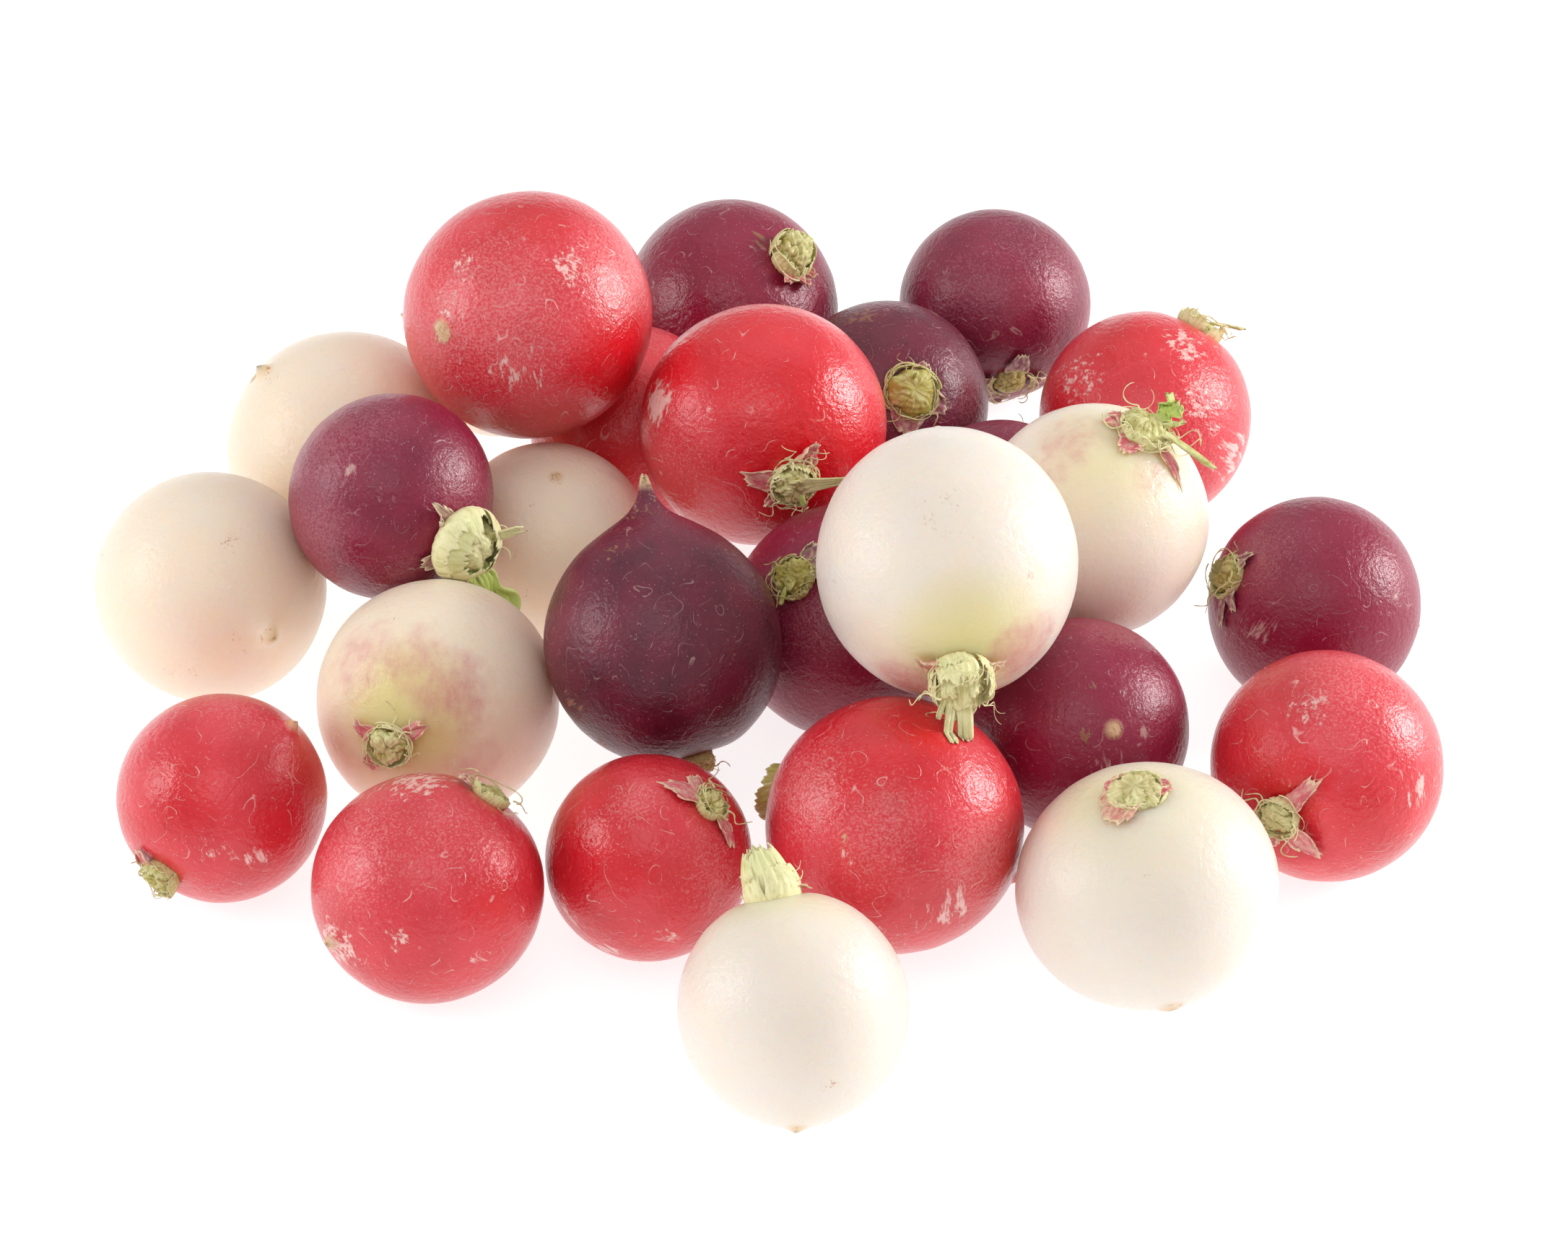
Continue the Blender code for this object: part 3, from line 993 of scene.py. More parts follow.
@dataclass
class Crown:
    """The cut leaf bases on a root. It is the frame that its growths are built in.

    In this frame +Z points out of the root, and the root's skin is near Z = 0 at the middle.
    """

    name: str
    ball: Ball
    others: list[Ball]
    seed: int
    growths: tuple["Growth", ...]
    pale: float  # from 0, dark olive green, to 1, nearly white
    dry: float  # how far it has dried brown
    grey: float  # papery scales: from 0, pink, to 1, grey and purple
    girth: float = 1.0  # its radius, over the radius of the node it stands for

    def build(self, material: bpy.types.Material) -> bpy.types.Object:
        """Return the crown, in place.

        Args:
            material: its tissue.

        Returns:
            The new object.
        """
        self.rng = np.random.default_rng(self.seed)
        self.way = axes_from(self.ball.crown_way)
        self.draft = Draft()
        self.radius = self.ball.crown_radius * self.girth
        for growth in self.growths:
            growth.grow(self)
        return self.draft.build(self.name, material)

    def turn_to(self, direction: np.ndarray) -> float:
        """Return the angle round the crown that faces a direction in the world."""
        local = self.way.T @ direction
        return math.atan2(local[1], local[0])

    def skin_height(self, away: np.ndarray) -> np.ndarray:
        """Return the height of the root's skin at a distance from the crown's axis."""
        share = np.clip(away / self.ball.radius, 0, 0.985)
        return self.ball.half_length * (np.sqrt(1 - share**2) - SEAT_SHARE)

    def to_world(self, points: np.ndarray) -> np.ndarray:
        """Return the world places of points in the crown's frame."""
        return points @ self.way.T + self.ball.seat

    def add(
        self, points: np.ndarray, faces: list, fibre: np.ndarray, own: bool = False,
        **values: np.ndarray | float,
    ) -> None:
        """Add a patch.

        Args:
            points: places in the crown's frame.
            faces: the patch's faces.
            fibre: coordinates across and along its fibres, in metres, one row each.
            own: whether the patch must stay above its own root's skin.
            values: painted values that differ from the crown's own.
        """
        world = clear_of(self.to_world(points), self.others, 0.1 * MM)
        if own:
            world = clear_of(world, [self.ball], 0.12 * MM)
        world[:, 2] = np.maximum(world[:, 2], 0.06 * MM)
        third = np.full((len(points), 1), self.rng.uniform(0, 90))
        painted = {"fresh": 0.0, "paper": 0.0, "rim": 0.0}
        painted |= {"dry": self.dry, "grey": self.grey, "pale": self.pale, **values}
        painted["fibre_mm"] = np.hstack([fibre / MM, third])
        self.draft.add(world, faces, painted)


class Growth:
    """Something that grows on a crown."""

    def grow(self, crown: Crown) -> None:
        """Add it to the crown."""
        raise NotImplementedError


@dataclass(frozen=True)
class Core(Growth):
    """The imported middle: a dome of folded leaf bases, lumpy and creased."""

    rise_mm: float = 3.0
    width: float = 1.0  # over the crown's radius
    flat: float = 0.0  # from 0, a round dome, to 1, cut flat
    rough_mm: float = 0.35
    lean: float = 0.0  # how far the top leans, over its rise
    lean_clock: float = 6.0

    def grow(self, crown: Crown) -> None:
        """Add the dome.

        Args:
            crown: the crown it grows on.
        """
        rows, sides = 34, 72
        ring = np.linspace(0, FULL_TURN, sides, endpoint=False)
        v, u = np.meshgrid(np.linspace(0, 1, rows), ring, indexing="ij")
        rise, low = self.rise_mm * MM, 1.6 * MM
        bend = v * math.pi / 2
        power = 1 - 0.55 * self.flat
        bulge = 0.86 + 0.16 * np.sin(np.minimum(bend * 2.2, math.pi))
        r = crown.radius * self.width * np.cos(bend) ** (0.55 * power) * bulge
        r = np.where(v > 0.999, 0.02 * crown.radius, r)
        z = (rise + low) * np.sin(bend) ** (1.0 - 0.35 * self.flat) - low
        lobes = 1 + 0.09 * np.sin(3 * u + crown.rng.uniform(0, 6))
        lobes = lobes + 0.05 * np.sin(7 * u + crown.rng.uniform(0, 6))
        points = around(r * lobes, u, z).reshape(-1, 3)
        outward = normalized(points - np.array([0, 0, -0.2 * rise]))
        fold = waves(points, crown.rng, 4, 3.6 * MM)
        crease = np.abs(waves(points, crown.rng, 3, 2.6 * MM))
        fine = waves(points, crown.rng, 8, 0.9 * MM)
        depth = self.rough_mm * MM * (0.55 * fold - 0.8 * np.exp(-((crease / 0.16) ** 2)) + 0.3 * fine)
        points = points + outward * depth[:, None]
        tilt = crown.turn_to(seen(self.lean_clock))
        shift = np.clip(points[:, 2], 0, None) ** 1.5 / max(rise, 1e-6) ** 0.5 * self.lean
        points[:, 0] += shift * math.cos(tilt)
        points[:, 1] += shift * math.sin(tilt)
        fibre = np.stack([u.ravel() * crown.radius, v.ravel() * (rise + low)], -1)
        # Creases are painted darker and browner, raised folds paler: dried tissue in the creases, with
        # painted shade in them and painted light on the folds.
        groove_shade = np.exp(-((crease / 0.2) ** 2))
        dry = crown.dry + 0.22 * groove_shade + 0.2 * self.flat * smooth(v.ravel(), 0.4, 0.8)
        pale = crown.pale + 0.25 * np.tanh(fold) - 0.25 * groove_shade
        fresh = 0.25 * smooth(fold, 0.0, 1.2) * (1 - crown.dry)
        crown.add(points, tube_faces(rows, sides), fibre, dry=dry, pale=pale, fresh=fresh)


@dataclass(frozen=True)
class Sheaths(Growth):
    """A ring of thin curved leaf bases that wrap the core, torn along their upper edges."""

    count: int = 5
    height_mm: tuple[float, float] = (2.0, 3.6)
    foot: float = 0.95  # distance from the axis at the skin, over the crown's radius
    belly: float = 1.07  # and half way up
    tip: float = 0.9  # and at the torn edge
    spread: float = 0.75  # half the angle that one covers, in radians
    torn: float = 0.35
    thickness_mm: float = 0.32
    turn: float = 0.0
    lean: float = 0.0
    lean_clock: float = 6.0
    paler: float = 0.15

    def grow(self, crown: Crown) -> None:
        """Add the ring.

        Args:
            crown: the crown it grows on.
        """
        for i in range(self.count):
            middle = self.turn + FULL_TURN * (i + crown.rng.uniform(-0.2, 0.2)) / self.count
            self.one(crown, middle, crown.rng.uniform(*self.height_mm) * MM)

    def one(self, crown: Crown, middle: float, height: float) -> None:
        """Add one leaf base.

        Args:
            crown: the crown it grows on.
            middle: its angle round the crown.
            height: its height.
        """
        rows, columns = 20, 27
        rng = crown.rng
        v, u = sheet_grid(rows, columns)
        phase = rng.uniform(0, 6, 5)
        bites = 0.35 * np.abs(np.sin(4 * u + phase[0])), 0.3 * np.abs(np.sin(11 * u + phase[1]))
        edge = 1 - self.torn * (0.45 * u**2 + bites[0] + bites[1])
        edge -= self.torn * 0.25 * rng.random(columns)[None, :] ** 2
        w = v * edge
        scale = crown.radius * rng.uniform(0.92, 1.06)
        middle_way = 2 * self.belly - 0.5 * (self.foot + self.tip)
        r = scale * ((1 - w) ** 2 * self.foot + 2 * w * (1 - w) * middle_way + w**2 * self.tip)
        angle = middle + self.spread * u * (1 - 0.18 * w) + 0.08 * np.sin(3 * v + phase[2])
        r = r + 0.12 * MM * np.sin(7 * u + 2 * v + phase[3]) * v
        r = r + 0.06 * MM * np.sin(17 * u + 5 * v + phase[4])
        z = height * w - 0.9 * MM * (1 - v) + crown.skin_height(r) * (1 - w)
        tilt = crown.turn_to(seen(self.lean_clock))
        shift = self.lean * height * w**1.6
        sheet = around(r, angle, z)
        sheet[..., 0] += shift * math.cos(tilt)
        sheet[..., 1] += shift * math.sin(tilt)
        thick = self.thickness_mm * MM * (1 - 0.65 * np.maximum(v**2, np.abs(u) ** 3))
        points, faces = shell(sheet, thick)
        vv, uu = np.tile(v.ravel(), 2), np.tile(u.ravel(), 2)
        fibre = np.stack([uu * scale * self.spread, vv * height], -1)
        rim = smooth(np.maximum(vv, np.abs(uu)), 0.84, 1.0)
        pale = crown.pale + self.paler + 0.2 * (1 - vv)
        fresh = rng.uniform(0, 0.5) * smooth(vv, 0.3, 1.0) * (1 - crown.dry)
        dry = crown.dry * 0.8 + 0.25 * rim * crown.dry
        crown.add(points, faces, fibre, rim=0.8 * rim, pale=pale, dry=dry, fresh=fresh)


@dataclass(frozen=True)
class PaperScale(Growth):
    """A thin dried scale that lies out over the root's shoulder, ragged and curled at its edge."""

    clock: float
    length_mm: float = 4.5
    width: float = 0.6  # half the angle that it covers, in radians
    curl_mm: float = 0.8
    paper: float = 1.0
    ragged: float = 0.4

    def grow(self, crown: Crown) -> None:
        """Add the scale.

        Args:
            crown: the crown it grows on.
        """
        rows, columns = 26, 31
        rng = crown.rng
        v, u = sheet_grid(rows, columns)
        phase = rng.uniform(0, 6, 6)
        bites = 0.3 * np.abs(np.sin(3 * u + phase[0])), 0.25 * np.abs(np.sin(8 * u + phase[1]))
        bite = 1 - 0.4 * u**2 - self.ragged * (bites[0] + bites[1])
        bite = np.clip(bite - self.ragged * 0.2 * rng.random(columns)[None, :], 0.15, 1)
        away = crown.radius * 0.9 + 1.3 * self.length_mm * MM * v * bite
        narrow = 1 - 0.5 * v**1.5 + 0.08 * np.sin(7 * v + phase[2])
        angle = crown.turn_to(seen(self.clock)) + self.width * u * narrow
        rolled = v**2.2 * (0.6 + 0.4 * np.sin(2 * u + phase[3]))
        curl = self.curl_mm * MM * (rolled + 0.3 * np.sin(6 * u + 4 * v + phase[4]) * v)
        wrinkle = 0.07 * MM * np.sin(15 * u + 2 * np.sin(5 * v + phase[5]))
        z = crown.skin_height(away) + 0.3 * MM + np.maximum(curl, -0.1 * MM) + wrinkle
        points, faces = shell(around(away, angle, z), 0.10 * MM)
        vv, uu = np.tile(v.ravel(), 2), np.tile(u.ravel(), 2)
        rim = smooth(np.maximum(vv, np.abs(uu)), 0.8, 1.0)
        fibre = np.stack([uu * crown.radius, vv * self.length_mm * MM], -1)
        paper = self.paper * smooth(vv, 0.0, 0.2)
        crown.add(points, faces, fibre, own=True, paper=paper, rim=rim, dry=0.1 + 0.2 * rim)


@dataclass(frozen=True)
class Fibres(Growth):
    """Loose threads: some lie round the foot of the leaf bases, some curl away."""

    around: int = 6
    loose: int = 4
    reach_mm: float = 4.0
    thickness_mm: float = 0.16
    height_mm: float = 2.6

    def grow(self, crown: Crown) -> None:
        """Add the threads.

        Args:
            crown: the crown it grows on.
        """
        rng = crown.rng
        s = np.linspace(0, 1, 40)
        for _ in range(self.around):
            angle = rng.uniform(0, FULL_TURN) + s * rng.uniform(0.8, 2.6) * rng.choice([-1, 1])
            ring = rng.uniform(1.0, 1.28)
            away = crown.radius * (ring + 0.07 * np.sin(rng.uniform(5, 12) * s + rng.uniform(0, 6)))
            lift = self.height_mm * MM * rng.uniform(0.05, 0.85)
            lift = lift + 0.4 * MM * np.sin(rng.uniform(4, 9) * s + rng.uniform(0, 6))
            path = around(away, angle, crown.skin_height(away) + 0.15 * MM + np.abs(lift))
            self.thread(crown, path, rng.uniform(0.6, 1.1))
        for _ in range(self.loose):
            angle = rng.uniform(0, FULL_TURN)
            out = np.array([math.cos(angle), math.sin(angle), rng.uniform(-0.1, 0.7)])
            side = np.array([-math.sin(angle), math.cos(angle), 0.0]) * rng.choice([-1, 1])
            curl, reach = rng.uniform(3, 9), self.reach_mm * MM * rng.uniform(0.5, 1.1)
            start = np.array([math.cos(angle), math.sin(angle), 0]) * crown.radius * 0.9
            start = start + [0, 0, self.height_mm * MM * rng.uniform(0.2, 0.9)]
            sway = (np.sin(curl * s) * s)[:, None] * side * reach * 0.35
            path = start + s[:, None] * reach * out + sway
            path[:, 2] += reach * 0.3 * (np.cos(curl * s) - 1) * s
            self.thread(crown, path, rng.uniform(0.6, 1.2))

    def thread(self, crown: Crown, path: np.ndarray, size: float) -> None:
        """Add one thread along a path.

        Args:
            crown: the crown it grows on.
            path: points along its middle.
            size: its thickness over the usual one.
        """
        sides, steps = 6, len(path)
        ways = normalized(np.gradient(path, axis=0))
        across = normalized(np.cross(ways, [0.31, 0.47, 0.83]))
        over = np.cross(ways, across)
        t = np.linspace(0, FULL_TURN, sides, endpoint=False)
        s = np.linspace(0, 1, steps)
        radius = self.thickness_mm * MM * size * (1 - 0.6 * s) * (1 + 0.2 * np.sin(23 * s))
        ring = across[:, None] * np.cos(t)[None, :, None] + over[:, None] * np.sin(t)[None, :, None]
        points = (path[:, None] + radius[:, None, None] * ring).reshape(-1, 3)
        along = np.repeat(s, sides)
        fibre = np.stack([np.tile(t, steps) * 0.2 * MM, along * 6 * MM], -1)
        pale, dry = crown.pale + 0.35, crown.dry * 0.7 + 0.25 * along
        crown.add(points, tube_faces(steps, sides), fibre, own=True, pale=pale, dry=dry)


@dataclass(frozen=True)
class Petiole(Growth):
    """A torn leaf stalk that heads away from the crown and sags, hollowed like a gutter."""

    clock: float
    length_mm: float = 8.0
    width_mm: float = 2.6
    tip: float = 0.35  # width at the end, over the width at the start
    lift: float = 0.4  # how steeply it starts, 0 along the skin and 1 straight out
    sag: float = 0.25
    start_mm: float = 1.4
    frill: float = 0.0  # how leafy its end is
    fresh: float = 0.3
    curl: float = 0.0

    def grow(self, crown: Crown) -> None:
        """Add the stalk, with its leafy end if it has one.

        Args:
            crown: the crown it grows on.
        """
        rng = crown.rng
        rows, columns = 40, 25
        heading = seen(self.clock)
        flat = normalized(heading - crown.ball.crown_way * (heading @ crown.ball.crown_way))
        way = normalized(flat * (1 - self.lift) + crown.ball.crown_way * self.lift)
        side = normalized(np.cross(crown.ball.crown_way, flat))
        over = np.cross(way, side)
        v, u = sheet_grid(rows, columns)
        length, phase = self.length_mm * MM, rng.uniform(0, 6, 6)
        start = crown.ball.seat + crown.ball.crown_way * self.start_mm * MM + flat * crown.radius * 0.35
        ends = 1 - 0.16 * np.abs(np.sin(5 * u + phase[0])) - 0.12 * rng.random(columns)[None, :]
        w = v * ends
        width = self.width_mm / 2 * MM * (1 - (1 - self.tip) * v**0.8)
        leafy = self.frill * smooth(v, 0.35, 0.7)
        lobes = 1 + leafy * (1.3 + 0.8 * np.sin(13 * v + phase[1] + 2 * np.sign(u)))
        gutter = 0.35 * width * u**2 + leafy * 0.8 * MM * np.sin(9 * v + 3 * u + phase[2]) * np.abs(u)
        bow = self.curl * length * np.sin(2.6 * v) * v
        body = start + way * (w * length)[..., None] + side * (width * u * lobes + bow)[..., None]
        body = body + over * gutter[..., None]
        body = body + side * (leafy * 0.5 * MM * np.sin(17 * v + phase[3]))[..., None]
        body[..., 2] -= self.sag * length * v**2
        local = (body.reshape(-1, 3) - crown.ball.seat) @ crown.way
        thick = (0.30 * MM + 0.45 * MM * (1 - v) * (1 - u**2)) * (1 - 0.55 * leafy)
        points, faces = shell(local.reshape(rows, columns, 3), thick)
        vv, uu = np.tile(v.ravel(), 2), np.tile(u.ravel(), 2)
        rim = smooth(np.maximum(vv, np.abs(uu)), 0.85, 1.0)
        green = np.maximum(self.fresh * smooth(vv, 0.0, 0.5), self.frill * smooth(vv, 0.3, 0.6))
        fibre = np.stack([uu * self.width_mm * MM / 2, vv * length], -1)
        dry = crown.dry * 0.5 + 0.4 * rim * rng.uniform(0.4, 1.0)
        pale = crown.pale + 0.25 * (1 - vv)
        crown.add(points, faces, fibre, own=True, fresh=green, dry=dry, pale=pale, rim=0.35 * rim)


# ---------------------------------------------------------------- the bunch


@dataclass(frozen=True)
class Look:
    """What sets one radish apart from the others of its kind."""

    variety: Variety
    number: int
    # On white roots this tone value is painted light and shade: low on the lit roots, high on those in
    # shade.
    tone: float
    growths: tuple[Growth, ...] = (Core(), Sheaths(4, (1.2, 2.2)), Fibres(5, 2))
    pale: float = 0.35
    dry: float = 0.25
    grey: float = 0.0
    taper: tuple[float, float] = (1.4, 2.2)
    nub: tuple[float, float] = (0.9, 1.0)
    spots: tuple[Spot, ...] = ()
    girth: float = 1.0

    def node(self, part: str) -> str:
        """Return the name of the model's node for a part of this radish."""
        return f"{self.variety.value}_{part}_{self.number}"


def marks(**kinds: list[tuple[float, ...]]) -> tuple[Spot, ...]:
    """Return spots from rows of azimuth, elevation, reach and strength, by the value of their mark."""
    return tuple(Spot(Mark(kind), *row) for kind, rows in kinds.items() for row in rows)


R, P, W = Variety.RED, Variety.PURPLE, Variety.WHITE

# Many bloom spots lie on the sides that face the lamps: there they are painted sheen over the powder.
LOOKS = (
    Look(
        R, 1, tone=0.5, pale=0.2, dry=0.7, taper=(0.5, 2.6), nub=(0.35, 1.7),
        growths=(
            Core(2.0, 1.0), Sheaths(5, (1.0, 2.4)), PaperScale(12, 3.0), Fibres(4, 2),
        ),
        spots=marks(
            wet=[(-58, 84, 24), (-41, 0, 40)],
            bloom=[(-110, 35, 70, 0.9), (-20, 40, 40), (60, 20, 60, 0.8)],
            scuff=[
                (-53, 52, 15, 0.8), (-138, 51, 12, 0.7), (-93, 8, 18, 0.75), (-132, 31, 12, 0.7),
                (-30, 37, 14, 0.65), (100, 30, 20, 0.8),
            ],
            scar=[(-132, 19, 8)],
        ),
    ),
    Look(
        R, 2, tone=0.75, pale=0.6, taper=(0.8, 2.0), nub=(1.0, 1.1), girth=0.8,
        growths=(
            Core(2.6, 0.95, flat=0.3, rough_mm=0.5), Sheaths(5, (1.8, 3.6), torn=0.6),
            PaperScale(9.6, 5.0, width=0.5, curl_mm=1.4),
            PaperScale(12.6, 4.6, width=0.55, curl_mm=2.4), PaperScale(7.5, 2.5, width=0.4),
            Petiole(2.6, 10.5, width_mm=3.6, tip=0.3, lift=0.3, sag=-0.05),
            Petiole(11.6, 5.0, width_mm=2.4, tip=0.5, lift=0.65, sag=0.0, fresh=0.1),
            Petiole(5.0, 2.6, width_mm=1.6, tip=0.6, lift=0.3, sag=0.1, fresh=0.9),
            Fibres(14, 9, reach_mm=4.6),
        ),
        spots=marks(
            wet=[(-165, 68, 40), (-57, 21, 50), (-89, 46, 34)],
            bloom=[(-138, 14, 40, 0.7), (-100, 52, 22, 0.5), (60, 30, 60, 0.7)],
            # The strong graze on the left is partly a painted highlight: a bright white patch where the
            # left lamp's glint falls, over grazed skin.
            scuff=[(-161, 26, 15, 1.2)],
            dent=[(-115, 75, 40, 0.7)],
        ),
    ),
    Look(
        R, 3, tone=0.6, pale=0.6, dry=0.35, taper=(0.8, 2.0),
        growths=(
            Core(1.8, 0.9), Sheaths(4, (1.6, 3.0), torn=0.5),
            Petiole(2.3, 6.5, width_mm=2.2, tip=0.4, lift=0.35, sag=0.1, fresh=0.0), Fibres(4, 3),
        ),
        spots=marks(
            wet=[(-165, 76, 26)],
            bloom=[(-60, 20, 60, 0.5)],
            scuff=[(-154, 44, 22, 0.75), (-50, 39, 26, 0.75), (-20, 68, 20, 0.8), (-38, 0, 24, 0.85)],
        ),
    ),
    Look(
        R, 4, tone=0.55, pale=0.6, dry=0.35, taper=(1.2, 2.4), girth=0.8,
        growths=(
            Core(2.2, 0.85, flat=0.2, rough_mm=0.5), Sheaths(5, (1.4, 2.6), torn=0.5),
            PaperScale(4.6, 5.5, width=0.5, curl_mm=0.6), PaperScale(1.5, 6.0, width=0.4, curl_mm=0.3),
            PaperScale(7.0, 3.0), Fibres(5, 3),
        ),
        spots=marks(
            wet=[(-115, 26, 28), (-75, 12, 26, 0.8), (-58, -18, 26)],
            bloom=[(-24, 75, 60, 0.8), (60, 20, 60, 0.6)],
            scuff=[(-126, 66, 16, 0.7), (-42, 17, 16, 0.7)],
            dent=[(-112, 2, 26)],
        ),
    ),
    Look(
        R, 5, tone=0.5, pale=0.3, dry=0.45, taper=(1.8, 2.6), nub=(1.0, 1.2), girth=0.82,
        growths=(
            Core(2.4, 0.95), Sheaths(5, (1.6, 3.0), torn=0.5), PaperScale(11.5, 3.0),
            Fibres(8, 4, reach_mm=3.0),
        ),
        spots=marks(
            wet=[(-113, 39, 30, 0.8)],
            bloom=[(160, 31, 50, 0.9), (44, 71, 40, 0.7), (-80, -30, 40, 0.6)],
            scuff=[(-90, 10, 14, 0.7), (-67, 1, 12, 0.75)],
        ),
    ),
    Look(
        R, 6, tone=0.4, pale=0.4, dry=0.4, taper=(1.4, 2.2), nub=(0.8, 1.3),
        growths=(
            Core(1.6, 0.7), Sheaths(5, (1.0, 2.2), foot=0.7, belly=0.85, tip=0.7, torn=0.5),
            PaperScale(10, 2.2), PaperScale(8.5, 2.0), Fibres(4, 2),
        ),
        spots=marks(
            wet=[(-51, 28, 26, 0.7)],
            bloom=[(-157, 48, 60, 0.8), (-59, 65, 50, 0.7)],
            scuff=[(101, 68, 26), (-102, 14, 11, 0.65), (-61, 0, 10, 0.65), (-138, -4, 20)],
            scar=[(-140, -5, 8, 0.8)],
        ),
    ),
    Look(
        R, 7, tone=0.45, pale=0.4, dry=0.45, taper=(1.0, 2.0), girth=0.74,
        growths=(
            Core(2.6, 0.85, flat=0.3, rough_mm=0.5), Sheaths(5, (1.2, 2.4), torn=0.5),
            PaperScale(9.3, 5.5, width=0.55, curl_mm=0.7), PaperScale(5.2, 4.6, width=0.4, curl_mm=0.5),
            PaperScale(11, 3.0, width=0.5), Fibres(8, 4),
        ),
        spots=marks(
            wet=[(-163, 57, 32), (-112, 39, 38, 0.8)],
            bloom=[(-113, 71, 24, 0.9), (-40, 20, 40, 0.8)],
            scuff=[(-141, -10, 15, 0.8), (-117, -35, 15, 0.9), (-79, -10, 14, 0.65), (-95, 4, 10, 0.5)],
        ),
    ),
    Look(
        R, 8, tone=0.5, pale=-0.1, dry=0.7, taper=(1.4, 2.4),
        growths=(
            Core(2.0, 0.9), Sheaths(4, (2.4, 3.8), torn=0.5, spread=0.9),
        ),
        spots=marks(
            wet=[(-130, 74, 46), (-81, 19, 30, 0.6), (-20, -5, 30)],
            bloom=[(-155, 43, 40, 0.9), (-100, 35, 40, 0.8), (-48, 18, 34)],
            scuff=[(-113, 24, 9, 0.6), (-67, -3, 20, 0.7), (-93, -21, 18, 0.6)],
            scar=[(-116, 30, 4, 0.6)],
        ),
    ),
    Look(
        R, 9, tone=0.5, taper=(1.2, 2.0),
        spots=marks(
            bloom=[(40, 50, 60, 0.7)],
            scuff=[(80, 30, 20, 0.8)],
        ),
    ),
    Look(
        P, 1, tone=0.75, pale=0.4, dry=0.15, grey=0.15, taper=(0.8, 2.2), girth=0.95,
        growths=(
            Core(4.2, 0.92, flat=0.1, rough_mm=0.7, lean=0.25, lean_clock=12),
            Sheaths(4, (2.4, 4.4), belly=1.05, tip=0.8, lean=0.2, lean_clock=12),
            PaperScale(7.0, 2.4, width=0.5, curl_mm=1.2), PaperScale(5.4, 2.6, width=0.5, curl_mm=1.4),
            PaperScale(4.0, 1.8, width=0.4, curl_mm=1.2), Fibres(2, 1),
        ),
        spots=marks(
            wet=[(-173, 60, 50), (-110, 30, 40)],
            scuff=[(-48, 66, 8, 0.7), (-150, 30, 10, 0.5)],
            scar=[(-38, 70, 9, 0.7)],
        ),
    ),
    Look(
        P, 2, tone=0.5, pale=0.3, dry=0.5, grey=0.9,
        growths=(
            Core(1.6, 0.8), PaperScale(12, 4.0), PaperScale(9, 4.0), PaperScale(4, 3.5),
            PaperScale(6.5, 4.0), Fibres(5, 3),
        ),
        spots=marks(
            wet=[(-56, 25, 12, 0.8)],
            bloom=[(-14, 61, 60, 0.8), (-110, 50, 50, 0.7)],
        ),
    ),
    Look(
        P, 3, tone=0.1, pale=0.12, grey=0.7,
        growths=(
            Core(2.8, 1.12, flat=0.15, rough_mm=0.22),
            Sheaths(7, (0.8, 1.7), foot=1.08, belly=1.2, tip=1.14, torn=0.5),
            PaperScale(6.3, 3.4, width=0.9, curl_mm=0.7), PaperScale(3.8, 3.0, width=0.7, curl_mm=1.0),
            PaperScale(8.5, 2.6), PaperScale(1.0, 2.2, width=0.5),
            Fibres(16, 5, reach_mm=3.4, thickness_mm=0.18, height_mm=1.6),
            Petiole(12.3, 3.0, width_mm=0.9, tip=0.5, lift=0.6, sag=0.1, fresh=0.8, curl=0.3),
        ),
        spots=marks(
            bloom=[(-26, 25, 34), (-115, 27, 40, 0.9)],
            scuff=[(-70, 5, 18, 0.5)],
            scar=[(155, 76, 16, 0.7), (47, 50, 12, 0.6)],
        ),
    ),
    Look(
        P, 4, tone=0.6, pale=0.8, dry=0.05, grey=0.75, taper=(0.1, 2.0), nub=(0.2, 0.4),
        growths=(
            Core(5.6, 1.32, rough_mm=0.3),
            Sheaths(
                3, (6.2, 7.6), foot=1.05, belly=1.75, tip=0.35, spread=1.25, torn=0.2,
                thickness_mm=0.42,
            ),
            Sheaths(
                4, (3.6, 6.0), foot=1.1, belly=1.7, tip=1.2, spread=0.85, torn=0.25,
                thickness_mm=0.42, turn=0.6,
            ),
            PaperScale(10.4, 5.5, width=0.4, curl_mm=1.6, paper=0.8),
            PaperScale(8.6, 4.2, width=0.5, paper=0.9),
            Petiole(2.6, 9.5, width_mm=2.6, tip=0.8, lift=0.5, sag=-0.1, fresh=0.1),
            Petiole(4.6, 12.5, width_mm=3.4, tip=0.6, lift=0.5, sag=0.45, frill=1.0, fresh=1.0),
            Petiole(5.6, 9.5, width_mm=2.8, tip=0.5, lift=0.5, sag=0.4, frill=0.9, fresh=0.8),
            Fibres(6, 7, reach_mm=5.0, thickness_mm=0.18, height_mm=5.0),
        ),
        spots=marks(
            wet=[(-105, -7, 26)],
            bloom=[(-30, 32, 34), (-175, 56, 60), (-130, 5, 40), (-80, -10, 20)],
            scuff=[(-120, 48, 7, 0.9), (-93, 36, 12, 0.65)],
        ),
    ),
    # Painted shade: the low tone value darkens this whole wine root, partly its own darker skin and
    # partly the shade that lies on its lower side.
    Look(
        P, 5, tone=0.1, dry=0.9, taper=(5.6, 3.6), nub=(2.6, 1.2), girth=0.6,
        spots=marks(
            bloom=[(-75, 40, 50, 0.25)],
            scar=[
                (175, 67, 12, 0.6), (13, 49, 9, 0.6), (-48, 30, 8, 0.5), (-137, -6, 12, 0.6),
                (106, 55, 16, 0.5), (-130, -30, 16, 0.5),
            ],
        ),
    ),
    Look(
